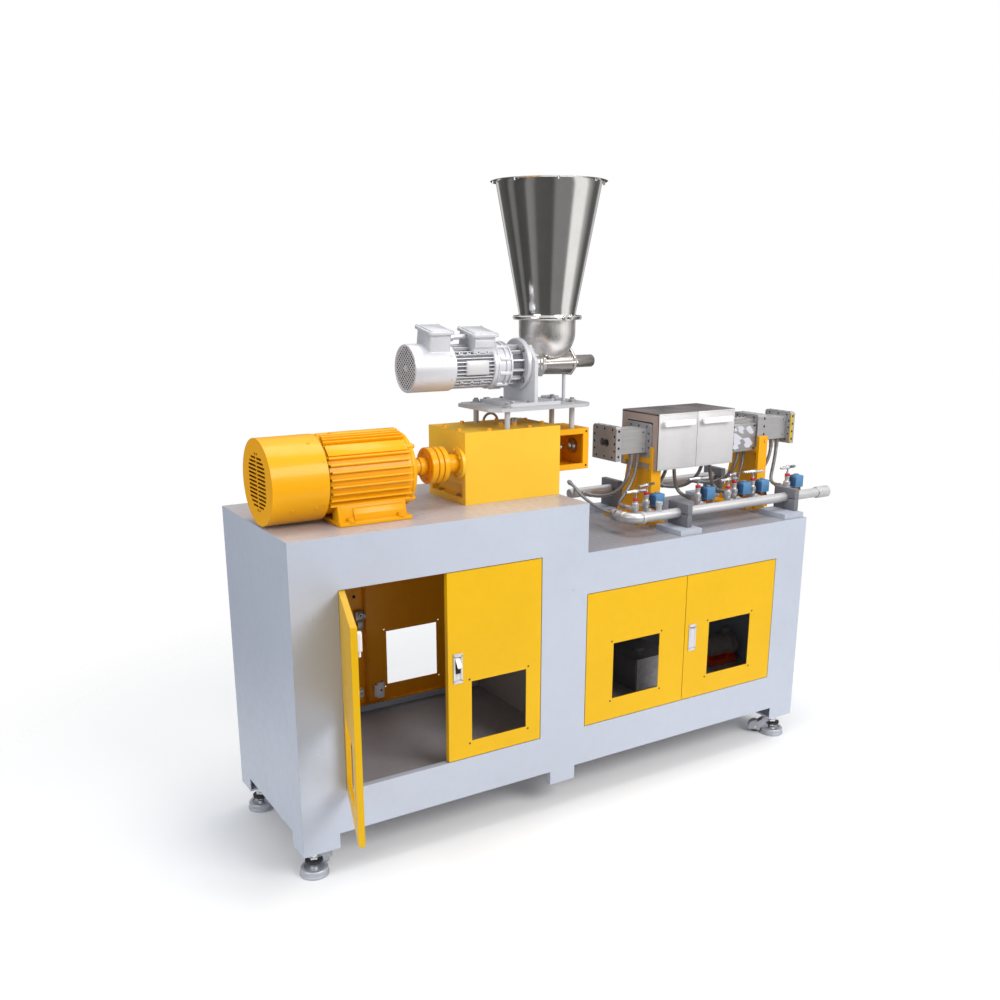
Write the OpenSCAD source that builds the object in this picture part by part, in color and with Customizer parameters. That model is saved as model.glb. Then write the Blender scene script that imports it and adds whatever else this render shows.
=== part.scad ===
// Twin screw pelletizer: cabinet, main drive, feeder, barrel and its water cooling.
// X runs from the motor to the discharge end, Y from the front doors to the rear doors.

/* [Cabinet] */
// Length of the cabinet
cab_l = 1920; // [1860:1:2000]
// Depth of the cabinet
cab_d = 543; // [520:1:600]
// Height of the high deck above the foot of the legs
cab_h = 906; // [880:1:960]
// Height of the low deck above the foot of the legs
low_h = 750; // [735:1:765]
// Length of the high part
high_l = 960; // [950:1:970]
// Thickness of the sheet metal
sheet = 3; // [2:0.5:4]
// Thickness of both deck plates
deck_t = 5; // [4:0.5:8]
// Height of the apron above the foot of the legs
apron_h = 45; // [30:1:60]
// Width of a leg along X
leg_w = 110; // [100:1:130]
// Width of a leg along Y
leg_d = 84; // [80:1:100]
// Height of the cabinet floor
floor_h = 145; // [120:1:160]
// Where the middle wall stands, as a share of the length
partition_share = 0.46; // [0.44:0.005:0.48]

/* [Doors] */
// Left edge of the tall opening
tall_x = 136; // [120:1:150]
// Width of the tall opening
tall_w = 655; // [630:1:670]
// Lower edge of the tall opening
tall_z = 171; // [165:1:180]
// Height of the tall opening
tall_h = 588; // [560:1:620]
// Left edge of the low opening
low_x = 960; // [940:1:970]
// Front sheet to the right of the low opening
low_end_w = 137; // [120:1:160]
// Lower edge of the low opening
low_z = 172; // [165:1:180]
// Height of the low opening
low_door_h = 446; // [420:1:480]
// How far the rear opening sits to the left of the front one
rear_shift = 20; // [0:1:30]
// Thickness of a door leaf
door_t = 17; // [15:0.5:20]
// Sheet thickness of a door leaf
skin = 2; // [1.5:0.5:3]
// Gap round a door leaf
door_gap = 2.5; // [2.5:0.1:4]
// Width of a door window
window_w = 192; // [150:1:200]
// Height of a door window
window_h = 190; // [150:1:200]
// Window of the tall doors above the lower edge of the opening
tall_window_z = 52; // [40:1:70]
// Window of the low doors above the lower edge of the opening
low_window_z = 71; // [60:1:90]
// How far the window of a tall door sits off the middle of the leaf
tall_window_shift = 13; // [0:1:20]
// Angle by which the first door stands open
door_open = 108; // [90:1:111]
// Radius of a hinge pin
door_pin_r = 3; // [2.5:0.1:3.5]
// Angle by which the first latch paddle stands out
paddle_open = 30; // [0:1:45]

/* [Casters] */
// Height of a levelling caster
foot_h = 84; // [80:1:90]
// Radius of the levelling pad
pad_r = 42; // [36:0.5:43]
// Radius of a caster wheel
wheel_r = 20; // [18:0.5:21]
// Width of a caster wheel
wheel_w = 18; // [14:0.5:20]
// How far a wheel lifts off the floor when the pad is down
wheel_lift = 4; // [2:0.5:6]

/* [Main drive] */
// Radius of the motor cowl
motor_r = 119; // [110:1:122]
// Height of the motor shaft above the high deck
motor_axis_h = 124; // [123:1:130]
// Distance of the motor shaft from the cabinet front
motor_y = 205; // [195:1:215]
// Length of the motor cowl
cowl_l = 160; // [140:1:165]
// Length of the finned motor body
motor_l = 247; // [230:1:250]
// Number of fins round the motor body
motor_fins = 32; // [24:4:36]
// Radius of the motor shaft
shaft_r = 19; // [16:0.5:22]
// Radius of the coupling
coupling_r = 54; // [48:1:58]
// Left face of the gearbox
gear_x = 621; // [615:1:630]
// Length of the gearbox
gear_l = 341; // [320:1:345]
// Width of the gearbox
gear_w = 228; // [220:1:240]
// Height of the gearbox
gear_h = 217; // [205:1:225]
// Length of the lantern between gearbox and barrel
lantern_l = 138; // [125:1:145]
// Width of the lantern
lantern_w = 142; // [138:1:150]
// Height of the lantern
lantern_h = 131; // [128:1:140]
// Radius of an output shaft
out_r = 9; // [7:0.5:9.5]

/* [Barrel] */
// Distance of the barrel axis from the cabinet front
axis_y = 271; // [265:1:275]
// Height of the barrel axis above the high deck
axis_h = 130.5; // [125:0.5:135]
// Open gap between the lantern and the barrel
barrel_gap = 118; // [100:1:125]
// Length of one barrel section
section_l = 166.4; // [160:0.1:168]
// Number of barrel sections
sections = 5; // [5:1:5]
// Width and height of the section body
body_s = 80; // [72:1:84]
// Width of a section flange
flange_w = 128; // [120:1:132]
// Height of a section flange
flange_h = 115; // [110:1:120]
// Thickness of a section flange
flange_t = 20.75; // [16:0.25:22]
// Radius of the flange holes
flange_hole_r = 4.5; // [3:0.1:5]
// Radius of each of the two bores
bore_r = 13.3; // [12.5:0.1:14]
// Distance between the two bores
bore_pitch = 22.4; // [22:0.1:23]
// Radius of a screw
screw_r = 12.9; // [12:0.1:13]
// Length of a heater cover
cover_l = 170; // [160:1:171]
// Width of the heater covers
cover_w = 197; // [190:1:210]
// Lower edge of the heater covers above the low deck
cover_z = 190; // [180:1:200]
// Height of the heater covers
cover_h = 190; // [180:1:200]

/* [Cooling] */
// Radius of the coolant pipes
pipe_r = 16.8; // [14:0.1:18]
// Wall of the coolant pipes
pipe_wall = 3.2; // [2:0.1:4]
// Distance of the front pipe from the cabinet front
front_pipe_y = 90; // [85:1:95]
// Height of the front pipe above the low deck
front_pipe_h = 60; // [55:1:65]
// Distance of the rear pipe from the cabinet front
rear_pipe_y = 462; // [455:1:470]
// Height of the rear pipe above the low deck
rear_pipe_h = 80; // [75:1:85]
// Radius of a cooling hose
hose_r = 6.2; // [5:0.1:6.5]
// Length of the handle bar of a valve
bar_l = 82; // [60:1:84]

/* [Feeder] */
// Height of the feeder platform above the gearbox
platform_h = 53; // [45:1:60]
// Length of the platform
platform_l = 376; // [360:1:390]
// Width of the platform
platform_w = 238; // [230:1:250]
// Thickness of the platform
platform_t = 10; // [8:0.5:12]
// Height of the feeder axis above the platform
feeder_axis_h = 121; // [115:1:130]
// Radius of the feeder motor cowl
fm_r = 70; // [64:1:72]
// Radius of the feeder screw
auger_r = 16; // [12:0.5:16.5]
// Where the hopper stands along X
hopper_x = 981; // [976:1:986]
// Radius of the feed bowl
bowl_r = 88.5; // [80:0.5:92]
// Height of the bowl rim above the feeder axis
bowl_h = 138; // [130:1:150]
// Height of the hopper
hopper_h = 397; // [350:1:420]
// Radius of the hopper at its top
hopper_r = 161; // [150:1:170]
// Sheet thickness of hopper and bowl
hopper_t = 2; // [1.5:0.5:3]

/* [Hidden] */
$fn = 48;
// Overrun of a cut past the face it leaves
over = 1;
// Running fit of a shaft or pin in its bore
fit = 0.06;
// Air between round faces of pieces that do not touch
air = 0.3;
// Colours of the paints and metals
paint_grey = [0.80, 0.83, 0.88];
deck_grey = [0.55, 0.53, 0.53];
paint_yellow = [0.95, 0.76, 0.06];
drive_yellow = [0.96, 0.68, 0.04];
steel = [0.62, 0.60, 0.58];
bright = [0.82, 0.82, 0.83];
dark = [0.25, 0.25, 0.27];
silver_paint = [0.74, 0.75, 0.77];
coil_blue = [0.25, 0.47, 0.68];
clamp_grey = [0.38, 0.39, 0.41];

// Cabinet outline and openings
stub_x = 831;
stub_w = 94;
stub_d = 20;
lip_d = 20;
corner_r = 6;
plate_t = 6;
rear_x = tall_x - rear_shift;
low_w = cab_l - low_x - low_end_w;
low_window_in = 107.875;

// Door parts
pin_in = 5;
pin_l = 9;
pin_boss = 12;
window_screw_r = 2.5;
window_screw_off = 7.5;
latch_w = 30;
latch_h = 92;
latch_t = 3;
latch_edge = 17;
slot_w = 18;
slot_h = 72;
paddle_t = 4;
paddle_gap = 0.5;
paddle_pin_r = 2;
paddle_pin_in = 2;
paddle_top = 6;
paddle_head = 2;
ear_w = 5;
ear_h = 12;
bolt_w = 16;
bolt_l = 26;
bolt_rod_r = 4;
bolt_edge = 30;
turn_head_r = 9;
turn_slot_w = 2;
turn_head_shares = [0.3, 0.7];

// Casters
caster_inset = 45;
caster_turn = [40, 140, -40, 220];
caster_ring_r = pad_r - 2.5;
pad_t = 10;
caster_ring_h = 14;
caster_top_r = 30;
caster_top_t = 5;
caster_post_r = 12;
thumb_r = 26;
thumb_z = 44;
thumb_t = 7;
stem_r = 6;
wheel_gap = 1.5;
wheel_x = pad_r + wheel_r;
fork_t = 3.5;
fork_top = 18;
axle_r = 4;
axle_z = wheel_lift + wheel_r - foot_h;
caster_at = [[caster_inset, caster_inset, 0], [cab_l - caster_inset, caster_inset, 0],
    [caster_inset, cab_d - caster_inset, 0], [cab_l - caster_inset, cab_d - caster_inset, 0]];

// Main drive, measured from the left wall and the high deck
motor_z = cab_h + motor_axis_h;
cowl_x = 2;
cowl_t = 2;
body_x = cowl_x + cowl_l + 3 * cowl_t;
body_end = body_x + motor_l;
fin_core_share = 0.89;
fin_w = 4.5;
shield_l = 22;
shield_r = 106;
spigot_l = 10;
grille_ring_r = 78;
grille_slot_w = 60;
grille_slot_h = 6;
grille_pitch = 11;
foot_x = body_x + 18;
foot_l = 219;
foot_w = 239;
foot_t = 12;
pedestal_w = 214;
pedestal_top_w = 176;
pedestal_h = 62;
foot_bolt_r = 9;
foot_bolt_h = 10;
foot_bolt_in = 34;
lug_l = 200;
lug_w = 28;
fan_x = 46;
fan_l = 40;
fan_t = 4;
fan_r = 96;
fan_hub_r = 30;
fan_blades = 7;
hub_r = 24;
coupling_x = 508;
coupling_l = 58;
shaft_in = 18;
groove_x = [20, 38];
groove_w = 3;
groove_d = 5;
tube_r = 28;
ring_flange_r = 50;
ring_flange_t = 11;
ring_bolts = 6;
ring_bolt_r = 5;
coupling_bolt_r = 4;
coupling_bolt_h = 5;
input_depth = 20;

// Gearbox, lantern and what stands on them
gear_y = axis_y - 108;
gear_top = cab_h + gear_h;
pocket_in = 18;
pocket_z = 19;
pocket_h = 41;
pocket_d = 22;
out_in = 30;
out_l = 70;
axis_z = cab_h + axis_h;
lantern_x = gear_x + gear_l;
lantern_end = lantern_x + lantern_l;
lantern_z = axis_z - lantern_h / 2;
lantern_t = 10;
lantern_window_w = 94;
lantern_window_h = 95;
gland_r = 24;
gland_t = 14;
gland_hole_r = 8;
head_r = 7;
head_h = 6;
head_in = 18;
breather_r = 9;
breather_h = 22;
gauge_h = 14;
lift_r = 26;
lift_wire_r = 4;
lift_x_share = 0.6;
lift_y_share = 0.85;
breather_cap_r = 11;
breather_x_share = 0.65;
breather_y_share = 0.35;
gauge_x_share = 0.55;
gauge_y_share = 0.45;
pocket_bolt_share = [0.28, 0.78];

// Barrel sections, bores and their covers
barrel_x = lantern_end + barrel_gap;
barrel_end = barrel_x + sections * section_l;
joint_gap = 0.2;
flange_chamfer = 7;
row_y_share = 0.33;
row_z_share = 0.4;
col_y_share = 0.42;
col_z_share = 0.21;
side_hole_r = 3;
side_hole_in = 12;
side_hole_d = 8;
port_a = 98;
port_b = 126;
port_y = axis_y - 21;
screw_in = 30;
screw_end = 6;
element_gap = 0.4;
elements = 38;
element_turn = 30;
flank_gap = 0.6;
cover_t = 1.5;
cover_top = low_h + cover_z + cover_h;
cover_first = section_l - flange_t + cover_t + 6;
cover_pitch = section_l + 5;
handle_l = 134;
handle_h = 20;
handle_t = 8;
handle_d = 22;
handle_z = 32;
handle_x = 10;
junction_w = 118;
junction_h = 99;
junction_d = 20;
junction_z = 70;
junction_screw_r = 3.5;
junction_screw_h = 2;
junction_screw_in = 9;
sensor_l = 50;
sensor_w = 32;
sensor_h = 16;

// Barrel supports
bar_t = 12;
bar_top = 20;
web_t = 10;
base_t = 8;
base_l = 110;
saddle_h = 19;
web_foot = 68;
base_rim = 4;
web_knee_y_share = 0.5;
web_knee_z_share = 0.3;
web_top_drop = 20;
stay_bolt_r = 8;
stay_bolt_h = 7;
support_at = [1, 4];

// Coolant pipes and fittings
front_pipe_z = low_h + front_pipe_h;
rear_pipe_z = low_h + rear_pipe_h;
elbow_r = 38;
elbow_x = lantern_end + 100;
pipe_end_x = cab_l + 140;
pipe_nut_l = 57;
pipe_nut_r = 21;
union_l = 26;
union_r = 21;
union_gap = 40;
rear_pipe_x = elbow_x + 15;
rear_cap_t = 6;
port_tap_x = 75;
port_tap_r = 9;
port_tap_h = 30;
cap_r = 12;
cap_h = 12;
socket_r = 8;
rear_socket_l = 26;
clamp_t = 20;
clamp_w = 98;
clamp_over = 18;
clamp_split = 1;
clamp_at = [cab_l - 514, cab_l - 12];
clamp_pad_h = 17;
clamp_pad_l = 92;
clamp_pad_edge = 2;
clamp_pad_in = 14;
clamp_pad_at = [cab_l - 528, cab_l - sheet - clamp_pad_l / 2];

// Valves: place along X of the valve with a coil, and of the plain ones
unit_at = [1324, 1555, 1727, 1817, 1993];
plain_at = [1262, 1678];
unit_y = 170;
plain_y = 150;
unit_top = 124;
plain_top = 112;
valve_r = 10;
valve_foot = 10;
valve_hex_r = 13;
valve_hex_h = 12;
valve_ring_r = 8.5;
valve_ring_h = 8;
stem_rod_r = 3;
stem_in = 14;
stem_l = 24;
bar_r = 5.5;
hub_ball_r = 7.5;
coil_dx = 42;
coil_dy = 5;
coil_l = 40;
coil_w = 38;
coil_h = 46;
brass_s = 28;
brass_h = 24;
coil_screw_r = 5;
coil_screw_h = 4;
port_z = 15;
port_r = 7;
hose_nut_r = 9;
hose_nut_l = 14;
nut_y = 196;
plug_l = 12;
valve_x = [plain_at[0], unit_at[0], unit_at[1], plain_at[1], unit_at[2], unit_at[3], unit_at[4]];
valve_y = [plain_y, unit_y, unit_y, plain_y, unit_y, unit_y, unit_y];
valve_top = [plain_top, unit_top, unit_top, plain_top, unit_top, unit_top, unit_top];
handle_turn = [0, 14, -6, 4, 20, -10, 6];
// Which valve feeds each barrel section
fed_by = [0, 2, 4, 5, 6];
plugged = [1, 3];

// Hose shape: rings along a hose, sides, and how far its ends run on before they bend
hose_rings = 12;
hose_sides = 8;
drop_lead = 120;
front_lead = 70;
rear_lead = 120;
return_shift = 50;
fitting_h = 18;

// Route of the loose hose, in the cabinet frame
loose_r = 5.5;
loose_route = [[1200, 194, 810], [1200, 222, 810], [1202, 250, 812], [1205, 278, 814],
    [1208, 306, 818], [1212, 334, 822], [1216, 362, 827], [1221, 390, 833], [1227, 418, 840],
    [1233, 446, 849.8], [1239, 472, 855.8], [1246, 498, 859.5]];
loose_nut_r = 9;
loose_nut_l = 16;

// Cooling unit on the cabinet floor
tank_share = 0.45;
tank_x = low_x + low_w * tank_share;
tank_y = 200;
tank_l = 170;
tank_w = 180;
tank_h = 116;
tank_t = 3;
tank_cap_r = 22;
tank_cap_h = 8;
pump_in = 75;
pump_x = cab_l - leg_w - pump_in;
pump_y = 280;
pump_r = 44;
pump_l = 90;
pump_base_h = 20;
pump_volute_r = 52;
pump_volute_l = 34;
pump_port_r = 14;
pump_sink = 4;

// Feeder, measured from the gearbox and the platform
platform_x = 710;
platform_z = gear_top + platform_h;
platform_top = platform_z + platform_t;
platform_chamfer = 30;
post_r = 8.5;
post_nut_r = 12;
post_nut_h = 9;
post_rear_x = 777;
post_rear_in = 26;
post_front_x = 1042;
post_front_in = 15;
feeder_z = platform_top + feeder_axis_h;
slab_x = 790;
slab_l = 185;
slab_w = 180;
slab_t = 10;
upright_x = 877;
upright_t = 12;
upright_shoulder = 125;
upright_top = 180;
upright_top_w = 100;
reducer_r = 79;
reducer_disc_t = 14.5;
reducer_ring_r = 70;
reducer_ring_l = 26;
reducer_neck_r = 48;
reducer_neck_l = 48;
reducer_ribs = 12;
reducer_rib_w = 5;
reducer_rib_h = 14;
reducer_bolt_r = 7;
reducer_bolt_h = 6;
reducer_bolt_share = 0.8;
reducer_bore_l = 40;
fm_cowl_l = 136;
fm_body_l = 143;
fm_core_share = 0.84;
fm_fins = 24;
fm_fin_w = 3.5;
fm_fin_share = 0.95;
fm_grille_pitch = 10;
fm_bar_w = 2.4;
fm_bars = floor(fm_r / fm_grille_pitch) - 1;
fm_cowl_t = 2;
box_a = [46, 84, 100];
box_b = [190, 90, 106];
box_base_share = 0.82;
box_lid_t = 12;
box_a_top = 118;
box_b_top = 109;
collar_r = 30;
drive_r = 12;
trough_r = 33;
trough_l = 122;
trough_shift = 25;
trough_flange_r = 44;
trough_flange_t = 8;
trough_bore_r = auger_r + 1.5;
tie_r = 3.5;
tie_off = 38;
tube_l = 89;
discharge_r = 19.3;
throat_l = 60;
bowl_wall_h = 45;
auger_core_r = 7;
auger_blade = 3;
auger_turns = 5;
auger_steps = 16;
rim_t = 5;
rim_w = 13;
clamp_ring_r = 107.5;
clamp_ring_w = 13;
clamp_lip = 2;
clasp_l = 34;
clasp_w = 14;
clasp_h = 20;
neck_h = 12;
lip_w = 16;
lip_t = 4;
prop_x = 1048;
prop_r = 5.5;
disc_x = 1051;
disc_y = 352;
disc_r = 30;
disc_h = 7;

// The origin stands on the floor under the middle of the whole machine.
leaf_w = tall_w / 2 - door_gap - door_gap / 2;
leaf_in = leaf_w - pin_in;
tip_drop = leaf_in * sin(door_open) - (door_t - pin_in) * cos(door_open);
y_front = pin_in - tip_drop;
y_back = cab_d + latch_t;
x_end = pipe_end_x + pipe_nut_l;
mid_x = x_end / 2;
mid_y = (y_front + y_back) / 2;

module placed() {
    translate([-mid_x, -mid_y, foot_h]) children();
}

// Cylinders along X and Y that start at a point
module rod_x(at, r, l, sides = $fn) {
    translate(at) rotate([0, 90, 0]) cylinder(h = l, r = r, $fn = sides);
}

module rod_y(at, r, l, sides = $fn) {
    translate(at) rotate([-90, 0, 0]) cylinder(h = l, r = r, $fn = sides);
}

module rod_z(at, r, l, sides = $fn) {
    translate(at) cylinder(h = l, r = r, $fn = sides);
}

// Block from one corner to the far one
module block(low, high) {
    translate(low) cube(high - low);
}

// Cabinet

module wall_outline() {
    difference() {
        union() {
            square([high_l, cab_h]);
            square([cab_l, low_h]);
            translate([high_l, low_h]) square([corner_r, corner_r]);
        }
        translate([high_l + corner_r, low_h + corner_r]) circle(r = corner_r);
        translate([leg_w, -over]) square([stub_x - leg_w, apron_h + over]);
        translate([stub_x + stub_w, -over]) square([cab_l - leg_w - stub_x - stub_w, apron_h + over]);
    }
}

// Hinge pins that stand in the sill and hang from the head of an opening
module opening_pins(x, w, z, h) {
    for (px = [x + door_gap + pin_in, x + w - door_gap - pin_in]) {
        rod_z([px, pin_in, z - over], door_pin_r, pin_l + over);
        rod_z([px, pin_in, z + h - pin_l], door_pin_r, pin_l + over);
    }
}

module opening_lips(x, w, z, h) {
    block([x, 0, z - sheet], [x + w, lip_d, z]);
    block([x, 0, z + h], [x + w, lip_d, z + h + sheet]);
}

module opening_cut(x, w, z, h) {
    block([x, -over, z], [x + w, lip_d, z + h]);
}

module cabinet_front() {
    color(paint_grey) placed() {
        difference() {
            translate([0, sheet, 0]) rotate([90, 0, 0]) linear_extrude(sheet) wall_outline();
            opening_cut(tall_x, tall_w, tall_z, tall_h);
            opening_cut(low_x, low_w, low_z, low_door_h);
        }
        opening_lips(tall_x, tall_w, tall_z, tall_h);
        opening_lips(low_x, low_w, low_z, low_door_h);
        opening_pins(tall_x, tall_w, tall_z, tall_h);
        opening_pins(low_x, low_w, low_z, low_door_h);
        block([stub_x, 0, 0], [stub_x + stub_w, stub_d, sheet]);
        block([stub_x, 0, 0], [stub_x + sheet, stub_d, apron_h + sheet]);
        block([stub_x + stub_w - sheet, 0, 0], [stub_x + stub_w, stub_d, apron_h + sheet]);
    }
}

module cabinet_rear() {
    color(paint_grey) placed() translate([0, cab_d, 0]) mirror([0, 1, 0]) {
        difference() {
            translate([0, sheet, 0]) rotate([90, 0, 0]) linear_extrude(sheet) wall_outline();
            opening_cut(rear_x, tall_w, tall_z, tall_h);
        }
        opening_lips(rear_x, tall_w, tall_z, tall_h);
        opening_pins(rear_x, tall_w, tall_z, tall_h);
    }
}

// One end wall with its two leg plates
module end_wall(h) {
    difference() {
        block([0, sheet, 0], [sheet, cab_d - sheet, h]);
        block([-over, leg_d, -over], [sheet + over, cab_d - leg_d, apron_h]);
    }
}

module leg_plate(x, low, high) {
    difference() {
        block([x, low, 0], [x + leg_w - 2 * sheet, high, plate_t]);
        for (at = caster_at) rod_z([at[0], at[1], -over], stem_r + fit, plate_t + 2 * over);
    }
}

module cabinet_ends() {
    color(paint_grey) placed() {
        end_wall(cab_h);
        translate([cab_l - sheet, 0, 0]) end_wall(low_h);
        for (x = [sheet, cab_l - leg_w + sheet]) {
            leg_plate(x, sheet, leg_d);
            leg_plate(x, cab_d - leg_d, cab_d - sheet);
        }
    }
}

module cabinet_decks() {
    color(deck_grey) placed() {
        block([sheet, sheet, cab_h - deck_t], [high_l, cab_d - sheet, cab_h]);
        block([high_l - sheet, sheet, low_h - deck_t], [high_l, cab_d - sheet, cab_h]);
        block([high_l - sheet, sheet, low_h - deck_t], [cab_l - sheet, cab_d - sheet, low_h]);
        for (x = clamp_pad_at) {
            block([x - clamp_pad_l / 2, clamp_pad_in, low_h - over],
                [x + clamp_pad_l / 2, front_pipe_y + clamp_w / 2 + clamp_pad_edge, low_h + clamp_pad_h]);
            block([x - clamp_pad_l / 2, rear_pipe_y - clamp_w / 2 - clamp_pad_edge, low_h - over],
                [x + clamp_pad_l / 2, cab_d - clamp_pad_in, low_h + clamp_pad_h]);
        }
    }
}

module cabinet_floor() {
    color(paint_grey) placed() {
        block([sheet, sheet, floor_h - sheet], [cab_l - sheet, cab_d - sheet, floor_h]);
        block([cab_l * partition_share, sheet, floor_h - over],
            [cab_l * partition_share + sheet, cab_d - sheet, low_h - deck_t]);
    }
}

// Doors. A leaf is drawn closed, hinged at its left edge, with its front face at y = 0.

module window_cut(cx, z, w) {
    block([cx - w / 2, -over, z], [cx + w / 2, skin + over, z + window_h]);
    for (sx = [-1, 1])
        for (sz = [-1, 1])
            rod_y([cx + sx * (w / 2 + window_screw_off), -over,
                z + window_h / 2 + sz * (window_h / 2 + window_screw_off)],
                window_screw_r, skin + 2 * over);
}

module latch_plate(x, z) {
    block([x, -latch_t, z - latch_h / 2], [x + latch_w, skin, z + latch_h / 2]);
    for (ex = [x + latch_w / 2 - slot_w / 2 - ear_w, x + latch_w / 2 + slot_w / 2])
        block([ex, 0, z + slot_h / 2 - ear_h], [ex + ear_w, ear_h, z + slot_h / 2]);
}

module latch_cut(x, z) {
    block([x + latch_w / 2 - slot_w / 2, -latch_t - over, z - slot_h / 2],
        [x + latch_w / 2 + slot_w / 2, door_t, z + slot_h / 2]);
    rod_x([x + latch_w / 2 - slot_w / 2 - ear_w - over, paddle_pin_in, z + slot_h / 2 - paddle_top],
        paddle_pin_r + fit, slot_w + 2 * ear_w + 2 * over);
}

module shoot_bolt(x, z) {
    block([x, skin - over, z], [x + bolt_w, door_t - skin, z + bolt_l]);
    rod_z([x + bolt_w / 2, door_t / 2 + skin, z - bolt_rod_r], bolt_rod_r, bolt_l + 2 * bolt_rod_r);
}

// Slotted head of a quarter turn fastener
module turn_head(x, z) {
    difference() {
        rod_y([x, -latch_t, z], turn_head_r, latch_t + skin / 2);
        block([x - turn_head_r, -latch_t - over, z - turn_slot_w / 2],
            [x + turn_head_r, -latch_t + turn_slot_w, z + turn_slot_w / 2]);
    }
}

module leaf(w, h, cx, wz, latch, bolts = false, heads = false, window = window_w) {
    difference() {
        union() {
            difference() {
                cube([w, door_t, h]);
                block([skin, skin, skin], [w - skin, door_t + over, h - skin]);
            }
            cube([pin_boss, pin_boss, pin_boss]);
            translate([0, 0, h - pin_boss]) cube([pin_boss, pin_boss, pin_boss]);
            if (latch) latch_plate(w - latch_edge - latch_w, h / 2);
            if (heads)
                for (p = turn_head_shares) turn_head(w - bolt_edge, p * h);
            if (bolts) {
                shoot_bolt(w - bolt_edge, bolt_edge);
                shoot_bolt(w - bolt_edge, h - bolt_edge - bolt_l);
            }
        }
        window_cut(cx, wz, window);
        if (latch) latch_cut(w - latch_edge - latch_w, h / 2);
        for (z = [-over, h - pin_boss - over])
            rod_z([pin_in, pin_in, z], door_pin_r + fit, pin_boss + 2 * over);
    }
}

tall_leaf_w = leaf_w;
tall_leaf_h = tall_h - 2 * door_gap;
low_leaf_w = low_w / 2 - door_gap - door_gap / 2;
low_leaf_h = low_door_h - 2 * door_gap;
low_window_w = low_leaf_w - 2 * low_window_in;

module front_door_1() {
    color(paint_yellow) placed() translate([tall_x + door_gap + pin_in, pin_in, tall_z + door_gap])
        rotate([0, 0, -door_open]) translate([-pin_in, -pin_in, 0])
            leaf(tall_leaf_w, tall_leaf_h, tall_leaf_w / 2 - tall_window_shift, tall_window_z, false, true);
}

module front_door_2() {
    color(paint_yellow) placed() translate([tall_x + tall_w - door_gap, 0, tall_z + door_gap])
        mirror([1, 0, 0])
            leaf(tall_leaf_w, tall_leaf_h, tall_leaf_w / 2 - tall_window_shift, tall_window_z, true);
}

module front_door_3() {
    color(paint_yellow) placed() translate([low_x + door_gap, 0, low_z + door_gap])
        leaf(low_leaf_w, low_leaf_h, low_leaf_w / 2, low_window_z, false, window = low_window_w);
}

module front_door_4() {
    color(paint_yellow) placed() translate([low_x + low_w - door_gap, 0, low_z + door_gap])
        mirror([1, 0, 0])
            leaf(low_leaf_w, low_leaf_h, low_leaf_w / 2, low_window_z, true, window = low_window_w);
}

module rear_door_1() {
    color(paint_yellow) placed() translate([rear_x + door_gap, cab_d, tall_z + door_gap])
        mirror([0, 1, 0])
            leaf(tall_leaf_w, tall_leaf_h, tall_leaf_w / 2 - tall_window_shift, tall_window_z,
                false, true, true);
}

module rear_door_2() {
    color(paint_yellow) placed() translate([rear_x + tall_w - door_gap, cab_d, tall_z + door_gap])
        mirror([1, 0, 0]) mirror([0, 1, 0])
            leaf(tall_leaf_w, tall_leaf_h, tall_leaf_w / 2 - tall_window_shift, tall_window_z, false);
}

// Paddle of a latch, hanging from its pin
module paddle() {
    drop = slot_h - paddle_top - paddle_gap;
    block([paddle_gap - slot_w / 2, -latch_t - paddle_pin_in, -drop],
        [slot_w / 2 - paddle_gap, paddle_t - latch_t - paddle_pin_in, paddle_head]);
    rod_x([-slot_w / 2 - ear_w, 0, 0], paddle_pin_r, slot_w + 2 * ear_w);
}

// Places a paddle on the right hand leaf of a pair
module paddle_on(x, w, z, h, turn) {
    translate([x + w - door_gap - (w / 2 - 1.5 * door_gap - latch_edge - latch_w / 2), paddle_pin_in,
        z + h / 2 + slot_h / 2 - paddle_top]) rotate([-turn, 0, 0]) paddle();
}

module latch_paddle_1() {
    color(bright) placed() paddle_on(tall_x, tall_w, tall_z, tall_h, paddle_open);
}

module latch_paddle_2() {
    color(bright) placed() paddle_on(low_x, low_w, low_z, low_door_h, 0);
}

// Levelling casters, drawn with the stem at x = y = 0 and the leg foot at z = 0

module caster_housing() {
    difference() {
        union() {
            rod_z([0, 0, -over], stem_r, plate_t);
            rod_z([0, 0, -air - caster_top_t], caster_top_r, caster_top_t);
            rod_z([0, 0, -foot_h + over], caster_post_r, foot_h - air - over);
            rod_z([0, 0, -thumb_z], thumb_r, thumb_t);
            rod_z([0, 0, -foot_h + pad_t], caster_ring_r, caster_ring_h);
            rod_z([0, 0, -foot_h], pad_r, pad_t);
            block([0, -wheel_w / 2 - wheel_gap - fork_t, axle_z],
                [wheel_x, wheel_w / 2 + wheel_gap + fork_t, -fork_top]);
            rod_y([wheel_x, -wheel_w / 2 - wheel_gap - fork_t, axle_z], wheel_r + wheel_gap + fork_t,
                wheel_w + 2 * wheel_gap + 2 * fork_t);
        }
        rod_y([wheel_x, -wheel_w / 2 - wheel_gap, axle_z], wheel_r + wheel_gap, wheel_w + 2 * wheel_gap);
        block([pad_r + air, -2 * wheel_w, -foot_h - over],
            [wheel_x + 2 * wheel_r, 2 * wheel_w, -foot_h + pad_t]);
        block([wheel_x - wheel_r - wheel_gap, -wheel_w / 2 - wheel_gap, -foot_h - over],
            [wheel_x + wheel_r + wheel_gap, wheel_w / 2 + wheel_gap, axle_z]);
    }
    rod_y([wheel_x, -wheel_w / 2 - wheel_gap - over, axle_z], axle_r, wheel_w + 2 * wheel_gap + 2 * over);
}

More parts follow.
